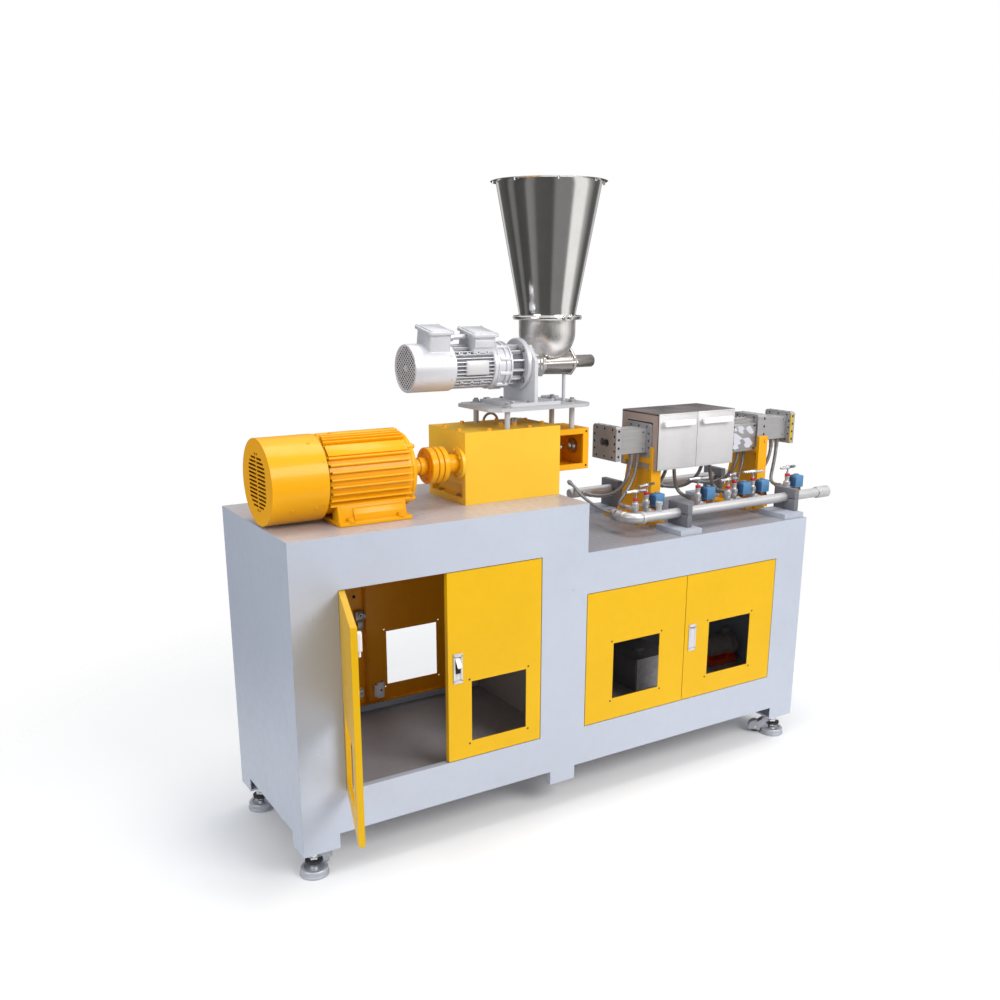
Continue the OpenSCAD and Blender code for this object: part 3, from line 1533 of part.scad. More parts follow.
module feeder_reducer() {
    neck_x = reducer_x + 2 * reducer_ring_l;
    disc = upright_x - reducer_disc_t;
    color(silver_paint) placed() difference() {
        union() {
            rod_x([reducer_x, axis_y, feeder_z], reducer_ring_r, reducer_ring_l / 2);
            rod_x([reducer_x, axis_y, feeder_z], reducer_ring_r - reducer_ribs / 2, 2 * reducer_ring_l);
            rod_x([reducer_x + reducer_ring_l * 1.5, axis_y, feeder_z], reducer_ring_r, reducer_ring_l / 2);
            rod_x([neck_x, axis_y, feeder_z], reducer_neck_r, reducer_neck_l);
            along_x([neck_x, axis_y, feeder_z], reducer_neck_l)
                ribbed(reducer_neck_r, reducer_neck_r + reducer_rib_h, reducer_ribs, reducer_rib_w);
            rod_x([disc, axis_y, feeder_z], reducer_r, reducer_disc_t);
            for (a = [45 : 90 : 315])
                translate([disc - reducer_bolt_h, axis_y, feeder_z]) rotate([a, 0, 0])
                    rod_x([0, reducer_r * reducer_bolt_share, 0], reducer_bolt_r, reducer_bolt_h + over, 6);
        }
        rod_x([upright_x - reducer_bore_l, axis_y, feeder_z], drive_r + fit, reducer_bore_l + over);
    }
}

trough_x = hopper_x - trough_l / 2 + trough_shift;
trough_end = trough_x + trough_l;
bowl_z = feeder_z + bowl_h;

module feeder_screw() {
    l = trough_end + tube_l - sheet - trough_x;
    color(steel) placed() {
        rod_x([upright_x - reducer_bore_l + sheet, axis_y, feeder_z], drive_r,
            trough_x + trough_flange_t - upright_x + reducer_bore_l - sheet);
        rod_x([trough_x, axis_y, feeder_z], auger_core_r, l);
        translate([trough_x + trough_flange_t + air, axis_y, feeder_z]) rotate([90, 0, 90])
            linear_extrude(l - trough_flange_t - air, twist = -360 * auger_turns,
                slices = auger_turns * auger_steps)
                translate([0, -auger_blade / 2]) square([auger_r, auger_blade]);
    }
}

module feed_bowl() {
    ball_z = bowl_z - bowl_wall_h;
    color(bright) placed() difference() {
        union() {
            rod_z([hopper_x, axis_y, bowl_z - rim_t], bowl_r + rim_w, rim_t);
            rod_z([hopper_x, axis_y, ball_z], bowl_r, bowl_z - ball_z);
            translate([hopper_x, axis_y, ball_z]) sphere(r = bowl_r);
            rod_x([trough_x, axis_y, feeder_z], trough_r, trough_l);
            for (x = [trough_x, trough_end - trough_flange_t])
                rod_x([x, axis_y, feeder_z], trough_flange_r, trough_flange_t, 8);
            rod_x([upright_x + upright_t, axis_y, feeder_z], collar_r,
                trough_x - upright_x - upright_t + over);
            for (s = [-1, 1]) rod_x([trough_x, axis_y + s * tie_off, feeder_z], tie_r, trough_l);
            rod_x([trough_end - over, axis_y, feeder_z], discharge_r, tube_l + over);
        }
        rod_z([hopper_x, axis_y, ball_z], bowl_r - hopper_t, bowl_z - ball_z + over);
        rod_z([hopper_x, axis_y, bowl_z], bowl_r + over, bowl_r);
        translate([hopper_x, axis_y, ball_z]) sphere(r = bowl_r - hopper_t);
        rod_x([trough_x + trough_flange_t, axis_y, feeder_z], trough_bore_r, trough_l + tube_l);
        rod_x([upright_x + upright_t - over, axis_y, feeder_z], drive_r + fit, trough_x - upright_x);
        block([hopper_x - throat_l / 2, axis_y - trough_bore_r, feeder_z],
            [hopper_x + throat_l / 2, axis_y + trough_bore_r, feeder_z + trough_r]);
    }
}

module hopper() {
    top = bowl_z + hopper_h;
    cone_z = bowl_z + neck_h;
    color(bright) placed() translate([hopper_x, axis_y, 0]) difference() {
        union() {
            rod_z([0, 0, bowl_z], bowl_r + rim_w, rim_t);
            rod_z([0, 0, bowl_z], bowl_r, neck_h);
            translate([0, 0, cone_z]) cylinder(h = top - cone_z, r1 = bowl_r, r2 = hopper_r);
            rod_z([0, 0, top - lip_t], hopper_r + lip_w, lip_t);
        }
        rod_z([0, 0, bowl_z - over], bowl_r - hopper_t, neck_h + over);
        translate([0, 0, cone_z])
            cylinder(h = top - cone_z, r1 = bowl_r - hopper_t, r2 = hopper_r - hopper_t);
        rod_z([0, 0, top - lip_t], hopper_r - hopper_t, lip_t + over);
    }
}

module hopper_clamp() {
    half = rim_t + air + clamp_lip;
    inner = bowl_r + rim_w + air;
    color(bright) placed() translate([hopper_x, axis_y, bowl_z]) difference() {
        union() {
            rod_z([0, 0, -half], clamp_ring_r, 2 * half);
            block([-clasp_l / 2, -clamp_ring_r - clasp_w / 2, -clasp_h / 2],
                [clasp_l / 2, -inner, clasp_h / 2]);
            rod_x([clamp_ring_r - clamp_lip, 0, 0], half / 2, clasp_w);
        }
        rod_z([0, 0, -half - over], clamp_ring_r - clamp_ring_w, 2 * half + 2 * over);
        rod_z([0, 0, -rim_t - air], inner, 2 * rim_t + 2 * air);
    }
}

cabinet_front();
cabinet_rear();
cabinet_ends();
cabinet_decks();
cabinet_floor();
front_door_1();
front_door_2();
front_door_3();
front_door_4();
rear_door_1();
rear_door_2();
latch_paddle_1();
latch_paddle_2();
caster_1();
caster_2();
caster_3();
caster_4();
caster_wheel_1();
caster_wheel_2();
caster_wheel_3();
caster_wheel_4();
motor_body();
motor_cowl();
motor_rotor();
coupling();
gearbox_case();
gearbox_fittings();
lantern();
output_shaft_1();
output_shaft_2();
feeder_platform();
feeder_bracket();
feeder_motor();
feeder_reducer();
feeder_screw();
feed_bowl();
hopper();
hopper_clamp();
barrel_sections();
screw_1();
screw_2();
heater_cover_1();
heater_cover_2();
junction_box();
barrel_supports();
coolant_pipes();
pipe_clamps();
cooling_hoses();
loose_hose();
loose_hose_nut();
coolant_valves();
solenoid_coils();
valve_handle_1();
valve_handle_2();
valve_handle_3();
valve_handle_4();
valve_handle_5();
valve_handle_6();
valve_handle_7();
cooling_unit();
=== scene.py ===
import math

import bmesh
import bpy
from mathutils import Matrix, Vector

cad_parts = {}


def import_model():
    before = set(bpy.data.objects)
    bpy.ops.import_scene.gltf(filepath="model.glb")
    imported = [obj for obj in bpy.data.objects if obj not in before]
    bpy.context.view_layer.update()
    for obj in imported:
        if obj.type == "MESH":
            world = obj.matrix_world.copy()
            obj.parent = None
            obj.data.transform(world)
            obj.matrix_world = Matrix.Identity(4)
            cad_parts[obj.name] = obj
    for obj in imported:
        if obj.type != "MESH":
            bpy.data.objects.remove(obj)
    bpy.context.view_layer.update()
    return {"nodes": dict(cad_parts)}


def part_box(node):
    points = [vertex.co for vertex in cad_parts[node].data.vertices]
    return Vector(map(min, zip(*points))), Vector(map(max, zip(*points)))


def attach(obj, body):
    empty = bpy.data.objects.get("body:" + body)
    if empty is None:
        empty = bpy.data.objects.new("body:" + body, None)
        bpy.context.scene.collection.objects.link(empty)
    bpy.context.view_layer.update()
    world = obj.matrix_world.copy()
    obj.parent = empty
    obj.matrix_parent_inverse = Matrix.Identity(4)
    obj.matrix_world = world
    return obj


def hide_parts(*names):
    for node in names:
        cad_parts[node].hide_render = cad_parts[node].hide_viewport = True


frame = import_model()
nodes = frame["nodes"]
scene = bpy.context.scene

# Points and lengths are millimetres from the cabinet's left front corner: x along the front, y to the back, z up
# from the lower edge of the sheets. P turns them into metres of the frame, which is shifted by these three.
SHIFT_X, SHIFT_Y, SHIFT_Z = 1058.5, 122.071, 84.0
X, Y, Z = Vector((1, 0, 0)), Vector((0, 1, 0)), Vector((0, 0, 1))

# Lines along x as (y, z): motor shaft and gearbox input, feeder screw and motor, barrel, front and rear pipe
DRIVE_AXIS, FEEDER_AXIS, BARREL_AXIS = (205, 1030), (271, 1307), (271, 1036.5)
FRONT_PIPE, REAR_PIPE, PIPE_R = (90, 810), (462, 830), 16.8
# Inlet face of the barrel and the length of a section; centre of the hopper and height of its clamp
BARREL_X, SECTION = 1218, 166.4
HOPPER_X, HOPPER_Y, CLAMP_Z = 981, 271, 1445
# Valves as (x, y, top), the angle of each handle, and where a coil stands beside the valve
VALVES = [(1262, 150, 862), (1324, 170, 874), (1555, 170, 874), (1678, 150, 862), (1727, 170, 874),
          (1817, 170, 874), (1993, 170, 874)]
HANDLE_TURNS = [0, 14, -6, 4, 20, -10, 6]
COILS = [1324, 1555, 1727, 1817, 1993]
# Middle line of the hose that hangs loose
ROUTE = [(1200, 194, 810), (1200, 222, 810), (1202, 250, 812), (1205, 278, 814), (1208, 306, 818),
         (1212, 334, 822), (1216, 362, 827), (1221, 390, 833), (1227, 418, 840), (1233, 446, 849.8),
         (1239, 472, 855.8), (1246, 498, 859.5)]
CAM_AZ, CAM_EL = 31.542, 15.558
SOFT = 0.0016  # radius of the soft edges in metres


def P(x, y, z):
    return Vector(((x - SHIFT_X) / 1000, (y - SHIFT_Y) / 1000, (z + SHIFT_Z) / 1000))


def cosd(a):
    return math.cos(math.radians(a))


def sind(a):
    return math.sin(math.radians(a))


def polar(cx, cy, r, a):
    """Point at r and a degrees round (cx, cy)."""
    return (cx + r * cosd(a), cy + r * sind(a))


def around(x, axis, r, count, first):
    """Points spread evenly round a line along x, from first degrees on."""
    return [Vector((x, *polar(*axis, r, first + 360 * i / count))) for i in range(count)]


def arc(cx, cy, r, a, b, n=12):
    return [polar(cx, cy, r, a + (b - a) * i / n) for i in range(n + 1)]


def rounded(x0, y0, x1, y1, r, n=4):
    """Rectangle with round corners as a list of points."""
    corners = ((x1 - r, y1 - r, 0), (x0 + r, y1 - r, 90), (x0 + r, y0 + r, 180), (x1 - r, y0 + r, 270))
    return [q for cx, cy, a in corners for q in arc(cx, cy, r, a, a + 90, n)]


def bezier(a, b, c, d, n=30):
    steps = [i / n for i in range(n + 1)]
    return [a * (1 - t) ** 3 + b * 3 * (1 - t) ** 2 * t + c * 3 * (1 - t) * t * t + d * t ** 3 for t in steps]


def place(at, angle, axis="Z", back=(0, 0, 0)):
    """Shift by back, turn by angle degrees, then shift to at."""
    return Matrix.Translation(at) @ Matrix.Rotation(math.radians(angle), 4, axis) @ Matrix.Translation(back)


def add_object(name, data):
    o = bpy.data.objects.new(name, data)
    scene.collection.objects.link(o)
    return o


# ---- camera

def make_camera():
    data = bpy.data.cameras.new("camera")
    data.sensor_width = 36
    data.lens = 36.332
    data.shift_x, data.shift_y = 0.0036, 0.0700
    data.clip_end = 60
    scene.camera = add_object("camera", data)
    fwd = Vector((sind(CAM_AZ) * cosd(CAM_EL), cosd(CAM_AZ) * cosd(CAM_EL), -sind(CAM_EL)))
    right = Vector((cosd(CAM_AZ), -sind(CAM_AZ), 0))
    m = Matrix((right, right.cross(fwd), -fwd)).transposed().to_4x4()
    m.translation = P(-848.03, -2406.37, 1529.96)
    scene.camera.matrix_world = m


make_camera()
scene.view_settings.view_transform = "Standard"


# ---- shader nodes

def rgba(c):
    return (c[0], c[1], c[2], 1.0)


def srgb(r, g, b):
    return tuple(v / 12.92 if v <= 0.04045 else ((v + 0.055) / 1.055) ** 2.4 for v in (r / 255, g / 255, b / 255))


def scaled(c, k):
    return tuple(min(1.0, v * k) for v in c)


class Nodes:
    """Short way to lay down the shader nodes of a new material, or of a world."""

    def __init__(self, name, world=None):
        self.owner = world or bpy.data.materials.new(name)
        self.owner.use_nodes = True
        self.tree = self.owner.node_tree
        self.tree.nodes.clear()
        self.out = self.new("OutputWorld" if world else "OutputMaterial")

    def feed(self, socket, v):
        """Gives the socket a number, a colour or a link."""
        if isinstance(v, (int, float)):
            socket.default_value = v
        elif isinstance(v, tuple):
            socket.default_value = rgba(v)
        else:
            self.tree.links.new(v, socket)

    def new(self, kind, **kw):
        """Keys with an underscore before them are inputs, the others are properties."""
        n = self.tree.nodes.new("ShaderNode" + kind)
        for k, v in kw.items():
            if k[0] == "_":
                self.feed(n.inputs[k[1:].replace("_", " ")], v)
            else:
                setattr(n, k, v)
        return n

    def coord(self, scale=(1, 1, 1)):
        m = self.new("Mapping", _Vector=self.new("TexCoord").outputs["Object"])
        m.inputs["Scale"].default_value = scale
        return m.outputs["Vector"]

    def xyz(self, kind="Object"):
        return self.new("SeparateXYZ", _Vector=self.new("TexCoord").outputs[kind]).outputs

    def noise(self, vec, scale, detail=3.0, rough=0.55):
        return self.new("TexNoise", _Vector=vec, _Scale=scale, _Detail=detail, _Roughness=rough).outputs["Fac"]

    def ramp(self, fac, stops):
        r = self.new("ValToRGB", _Fac=fac)
        els = r.color_ramp.elements
        els.remove(els[1])
        els[0].position, els[0].color = stops[0][0], rgba(stops[0][1])
        for p, c in stops[1:]:
            els.new(p).color = rgba(c)
        return r.outputs["Color"]

    def tones(self, fac, low, high, a=0.3, b=0.7):
        return self.ramp(fac, [(a, low), (b, high)])

    def span(self, fac, low, high, a=0.3, b=0.7):
        """low up to a, high from b on."""
        m = self.new("MapRange", _Value=fac, _From_Min=a, _From_Max=b, _To_Min=low, _To_Max=high)
        return m.outputs["Result"]

    def math(self, op, a, b=0.0):
        m = self.new("Math", operation=op)
        self.feed(m.inputs[0], a)
        self.feed(m.inputs[1], b)
        return m.outputs[0]

    def between(self, v, a, b, c, d):
        """1 from b to c, 0 below a and above d."""
        return self.math("MULTIPLY", self.span(v, 0.0, 1.0, a, b), self.span(v, 1.0, 0.0, c, d))

    def mix(self, fac, a, b):
        m = self.new("Mix", data_type="RGBA")
        for i, v in ((0, fac), (6, a), (7, b)):
            self.feed(m.inputs[i], v)
        return m.outputs[2]

    def blend(self, fac, a, b):
        """Mix of two shaders."""
        m = self.new("MixShader")
        for i, v in enumerate((fac, a.outputs[0], b.outputs[0])):
            self.feed(m.inputs[i], v)
        return m

    def bump(self, height, strength, dist, edge=0.0):
        """Bump on top of soft edges, where edge is their radius in metres."""
        b = self.new("Bump", _Strength=strength, _Distance=dist, _Height=height)
        if edge:
            self.feed(b.inputs["Normal"], self.new("Bevel", samples=4, _Radius=edge).outputs["Normal"])
        return b.outputs["Normal"]

    def finish(self, shader):
        self.feed(self.out.inputs["Surface"], shader.outputs[0])
        return self.owner

    def shader(self, color, rough, metal, normal, coat=0.0, coat_rough=0.1, spec=0.5, aniso=0.0):
        return self.finish(self.new(
            "BsdfPrincipled", _Base_Color=color, _Roughness=rough, _Metallic=metal, _Normal=normal,
            _Coat_Weight=coat, _Coat_Roughness=coat_rough, _Specular_IOR_Level=spec, _Anisotropic=aniso))


# ---- materials

def sprayed(n, v, c, dust, rough, metal, peel, edge, coat, spec):
    """Sprayed coat of colour c: patches of dust, orange peel and soft edges."""
    mid = n.noise(v, 38.0, 5.0, 0.6)
    c = n.mix(n.span(mid, 0.0, 0.10, 0.45, 0.75), c, dust)
    normal = n.bump(n.noise(v, 900.0, 2.0), peel, 0.0006, edge)
    return n.shader(c, n.span(mid, *rough), metal, normal, coat, 0.12, spec)


def paint(name, color, rough, peel, dirt, coat, spec=0.35, edge=0.0, metal=0.0):
    n = Nodes(name)
    v = n.coord()
    color = srgb(*color)
    c = n.tones(n.noise(v, 3.2, 4.0), scaled(color, 1 - dirt), scaled(color, 1 + dirt * 0.35))
    return sprayed(n, v, c, scaled(color, 0.72), (rough * 0.85, rough * 1.2), metal, peel, edge, coat, spec)


def brushed(name, color, rough, axis, dirt=0.18, metal=1.0, grain=0.25, edge=0.0):
    """Metal with its streaks along axis."""
    n = Nodes(name)
    scale = [700.0] * 3
    scale[axis] = 14.0
    streaks = n.noise(n.coord(scale), 1.0, 3.0, 0.6)
    color = srgb(*color)
    c = n.tones(streaks, scaled(color, 1 - dirt), scaled(color, 1 + dirt * 0.5), b=0.72)
    c = n.mix(n.span(n.noise(n.coord(), 9.0, 4.0), 0.0, 0.35, 0.45, 0.8), c, scaled(color, 0.68))
    return n.shader(c, n.span(streaks, rough * 0.75, rough * 1.3), metal, n.bump(streaks, grain, 0.0004, edge), aniso=0.4)


# name, sRGB colour, roughness, orange peel, dirt, coat, specular level, soft edge, metal
PAINTS = {
    "cabinet": ("cabinet_paint", (180, 186, 199), 0.38, 0.10, 0.04, 0.15, 0.35, SOFT),
    "floor_tray": ("tray_paint", (150, 147, 151), 0.42, 0.10, 0.12, 0.1, 0.35, SOFT),
    "door": ("door_paint", (222, 173, 2), 0.36, 0.10, 0.04, 0.06, 0.22, SOFT),
    "drive": ("drive_paint", (238, 167, 2), 0.33, 0.16, 0.06, 0.14, 0.2, SOFT),
    "drive_case": ("case_paint", (240, 188, 48), 0.34, 0.12, 0.05, 0.12, 0.25, SOFT),
    "drive_dark": ("drive_paint_shaded", (222, 136, 16), 0.4, 0.16, 0.12, 0.2),
    "silver": ("silver_paint", (210, 210, 214), 0.4, 0.14, 0.10, 0.1, 0.35, SOFT, 0.3),
    "silver_dark": ("silver_paint_shaded", (112, 112, 116), 0.45, 0.14, 0.14, 0.05),
    "platform": ("platform_paint", (186, 185, 188), 0.42, 0.14, 0.10, 0.05, 0.35, SOFT),
    "bracket": ("bracket_paint", (206, 206, 210), 0.42, 0.14, 0.08, 0.1, 0.35, SOFT),
    "clamp": ("clamp_plastic", (112, 112, 117), 0.5, 0.2, 0.12, 0.0),
    "nylon": ("dark_nylon", (45, 45, 48), 0.5, 0.15, 0.15, 0.0),
    "coil": ("coil_plastic", (84, 132, 174), 0.32, 0.10, 0.10, 0.2),
    # darker copy of the coil blue: painted shade on the coils' bevelled left faces
    "coil_painted_shade": ("coil_plastic_painted_shade", (52, 92, 132), 0.36, 0.10, 0.14, 0.15),
    "red": ("red_ring", (206, 30, 44), 0.3, 0.05, 0.06, 0.3),
    "handle_coat": ("handle_coat", (238, 238, 240), 0.28, 0.06, 0.04, 0.4),
    "flange_edge": ("flange_edge_paint", (196, 164, 40), 0.45, 0.10, 0.2, 0.1),
    # dark brown of the window screws
    "dark_brown": ("window_screw", (96, 50, 20), 0.5, 0.10, 0.2, 0.0),
    # near black: black screws, and painted shade in holes, sockets, bores, latch pockets and behind the feeder's
    # grille
    "black_and_shade": ("dark_gap", (28, 27, 28), 0.6, 0.1, 0.1, 0.0),
}
# name, sRGB colour, roughness, axis of the streaks, dirt, metal, grain, soft edge
METALS = {
    "steel": ("machined_steel", (172, 170, 168), 0.38, 1, 0.18, 0.8),
    "barrel": ("barrel_steel", (178, 176, 176), 0.48, 0, 0.18, 0.55, 0.25, SOFT),
    "sheet": ("bright_sheet", (214, 212, 212), 0.5, 0, 0.06, 0.4),
    "pipe": ("pipe_steel", (204, 203, 204), 0.38, 0, 0.12, 0.6),
    "polished": ("polished_steel", (232, 230, 227), 0.13, 2, 0.07, 1.0, 0.06),
    "satin": ("satin_steel", (234, 231, 228), 0.33, 2, 0.09, 1.0, 0.08),
    "trough": ("trough_steel", (150, 144, 140), 0.26, 0, 0.14, 1.0, 0.08),
    "latch": ("latch_plate", (212, 212, 218), 0.4, 2, 0.06, 0.5, 0.05),
    "chrome": ("chromed_steel", (226, 226, 229), 0.2, 2, 0.06, 1.0, 0.04),
    "alu": ("cast_aluminium", (184, 186, 194), 0.5, 2, 0.12, 0.55),
    "brass": ("worn_brass", (168, 120, 82), 0.36, 0),
    "cover_top": ("cover_top_sheet", (128, 121, 120), 0.45, 0, 0.16, 0.8),
    "cover_end": ("cover_end_sheet", (190, 168, 158), 0.5, 2, 0.14, 0.35),
    "film": ("film", (222, 222, 234), 0.14, 2, 0.05, 0.8, 0.05),
}


def deck_paint():
    """Worn decks, warmer on the high one, and the paint of the cabinet on the pads under the clamps."""
    n = Nodes("deck_paint")
    z = n.xyz()[2]
    v = n.coord()
    big = n.noise(v, 4.0, 5.0)
    mid = n.noise(v, 60.0, 4.0)
    high = n.tones(big, srgb(176, 168, 168), srgb(188, 180, 180))
    low = n.tones(big, srgb(140, 139, 146), srgb(156, 155, 161))
    c = n.mix(n.span(z, 0.0, 1.0, 0.97, 0.975), low, high)
    c = n.mix(n.between(z, 0.8345, 0.8350, 0.8512, 0.853), c, srgb(178, 184, 196))
    c = n.mix(n.span(mid, 0.0, 0.18, 0.45, 0.75), c, srgb(104, 100, 100))
    peel = n.bump(n.noise(v, 800.0, 2.0), 0.12, 0.0006, SOFT)
    return n.shader(c, n.span(mid, 0.3, 0.45), 0.0, peel, 0.2, 0.25)


def door_paint(name, low, high, dust, back=None):
    """Doors: yellow leaf. Without back a bare metal latch stands before the leaf, else back colours the inside in a
    deeper orange, as painted shade.
    """
    n = Nodes(name)
    y = n.xyz()[1]
    v = n.coord()
    big = n.noise(v, 3.2, 4.0)
    c = n.tones(big, low, high)
    if back:
        plate = 0.0
        # deeper orange on the inside faces: painted shade
        c = n.mix(n.span(y, 0.0, 1.0, P(0, 542.2, 0)[1], P(0, 542.6, 0)[1]), n.tones(big, *back), c)
    else:
        plate = n.span(y, 1.0, 0.0, P(0, -0.9, 0)[1], P(0, -0.3, 0)[1])
    mid = n.noise(v, 38.0, 5.0, 0.6)
    c = n.mix(n.span(mid, 0.0, 0.10, 0.45, 0.75), c, dust)
    if not back:
        c = n.mix(plate, c, srgb(196, 196, 200))
    peel = n.bump(n.noise(v, 900.0, 2.0), 0.10, 0.0006, SOFT)
    return n.shader(c, n.span(mid, 0.31, 0.43), plate, peel, 0.06, 0.12, 0.22)


def braid():
    n = Nodes("braided_steel")
    waves = [n.new("TexWave", bands_direction="DIAGONAL", _Vector=n.coord((s, 1, 1)), _Scale=260.0,
                   _Distortion=0.4).outputs["Fac"] for s in (1, -1)]
    weave = n.math("MAXIMUM", *waves)
    c = n.tones(weave, srgb(88, 86, 86), srgb(186, 184, 182), 0.35, 0.85)
    return n.shader(c, 0.38, 0.9, n.bump(weave, 0.6, 0.0008))


def fittings_metal():
    """Painted bolt heads on the gearbox cover, bare metal above and beside them."""
    n = Nodes("gearbox_fittings_metal")
    streaks = n.noise(n.coord((700.0, 14.0, 700.0)), 1.0, 3.0, 0.6)
    metal = n.tones(streaks, srgb(140, 138, 136), srgb(178, 176, 174), b=0.72)
    head = n.between(n.xyz()[2], *[P(0, 0, z)[2] for z in (1122.5, 1123, 1130.5, 1131)])
    peel = n.bump(n.noise(n.coord(), 900.0, 2.0), 0.12, 0.0005)
    return n.shader(n.mix(head, metal, srgb(236, 160, 8)), n.span(streaks, 0.3, 0.46),
                    n.span(head, 0.85, 0.0, 0.0, 1.0), peel, 0.1)


def unit_paint():
    """Grey tank at the left with a bright front, pump with an orange-red base at the right."""
    n = Nodes("cooling_unit_paint")
    left, right = [q[0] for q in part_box("cooling_unit")]
    split = left + 0.5 * (right - left)
    base_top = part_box("cooling_unit")[0][2] + 0.040
    front_y = P(0, 200, 0)[1]
    x, y, z = n.xyz()
    v = n.coord()
    big = n.noise(v, 14.0, 4.0)
    base = n.tones(big, srgb(212, 66, 34), srgb(232, 84, 44))
    body = n.tones(big, srgb(140, 132, 128), srgb(164, 156, 150))
    pump = n.mix(n.span(z, 0.0, 1.0, base_top - 0.0005, base_top + 0.0005), base, body)
    front = n.math("MULTIPLY", n.span(y, 1.0, 0.0, front_y + 0.001, front_y + 0.0015),
                   n.span(x, 0.0, 1.0, left + 0.008, left + 0.010))
    bright = n.tones(n.noise(v, 42.0, 5.0, 0.7), srgb(206, 204, 210), srgb(242, 242, 246), 0.35)
    tank = n.mix(front, n.tones(big, srgb(120, 116, 116), srgb(140, 136, 136)), bright)
    c = n.mix(n.span(x, 0.0, 1.0, split, split + 0.01), tank, pump)
    peel = n.bump(n.noise(v, 700.0, 2.0), 0.1, 0.0006, SOFT)
    return n.shader(c, n.span(big, 0.38, 0.55), 0.0, peel, 0.1)


YELLOW = srgb(222, 173, 2)
M = {key: paint(*row) for key, row in PAINTS.items()}
M.update({key: brushed(*row) for key, row in METALS.items()})
M["deck"] = deck_paint()
M["door_latch"] = door_paint("door_paint_with_latch", scaled(YELLOW, 0.95), scaled(YELLOW, 1.02), scaled(YELLOW, 0.72))
# rear leaves: their inside faces in a deeper orange as painted shade
M["rear_door"] = door_paint("rear_door_paint", srgb(217, 168, 2), srgb(226, 176, 3), srgb(170, 112, 4),
                            (srgb(230, 146, 6), srgb(240, 158, 8)))
M["braid"] = braid()
M["fittings"] = fittings_metal()
M["unit"] = unit_paint()

looks = {
    "cabinet": "cabinet_front cabinet_rear cabinet_ends",
    "floor_tray": "cabinet_floor",
    "deck": "cabinet_decks",
    "door": "front_door_1 front_door_3",
    "rear_door": "rear_door_1 rear_door_2",
    "door_latch": "front_door_2 front_door_4",
    "drive": "motor_body motor_cowl coupling lantern barrel_supports",
    "drive_case": "gearbox_case",
    "silver": "feeder_motor feeder_reducer",
    "platform": "feeder_platform",
    "bracket": "feeder_bracket",
    "steel": "motor_rotor output_shaft_1 output_shaft_2 feeder_screw screw_1 screw_2",
    "fittings": "gearbox_fittings",
    "unit": "cooling_unit",
    "barrel": "barrel_sections",
    "sheet": "heater_cover_1 heater_cover_2 junction_box",
    "pipe": "coolant_pipes coolant_valves",
    "polished": "hopper hopper_clamp",
    "satin": "feed_bowl",
    "latch": "latch_paddle_1 latch_paddle_2",
    "chrome": " ".join("valve_handle_%d" % i for i in range(1, 8)),
    "alu": " ".join("caster_%d" % i for i in range(1, 5)),
    "nylon": " ".join("caster_wheel_%d" % i for i in range(1, 5)),
    "clamp": "pipe_clamps",
    "coil": "solenoid_coils",
    "braid": "cooling_hoses loose_hose loose_hose_nut",
}
for key, names in looks.items():
    for name in names.split():
        slots = nodes[name].data.materials
        slots.clear()
        slots.append(M[key])


# ---- mesh tools

AX = {"x": Matrix(((0, 0, 1), (1, 0, 0), (0, 1, 0))), "y": Matrix(((1, 0, 0), (0, 0, 1), (0, -1, 0))),
      "z": Matrix.Identity(3)}


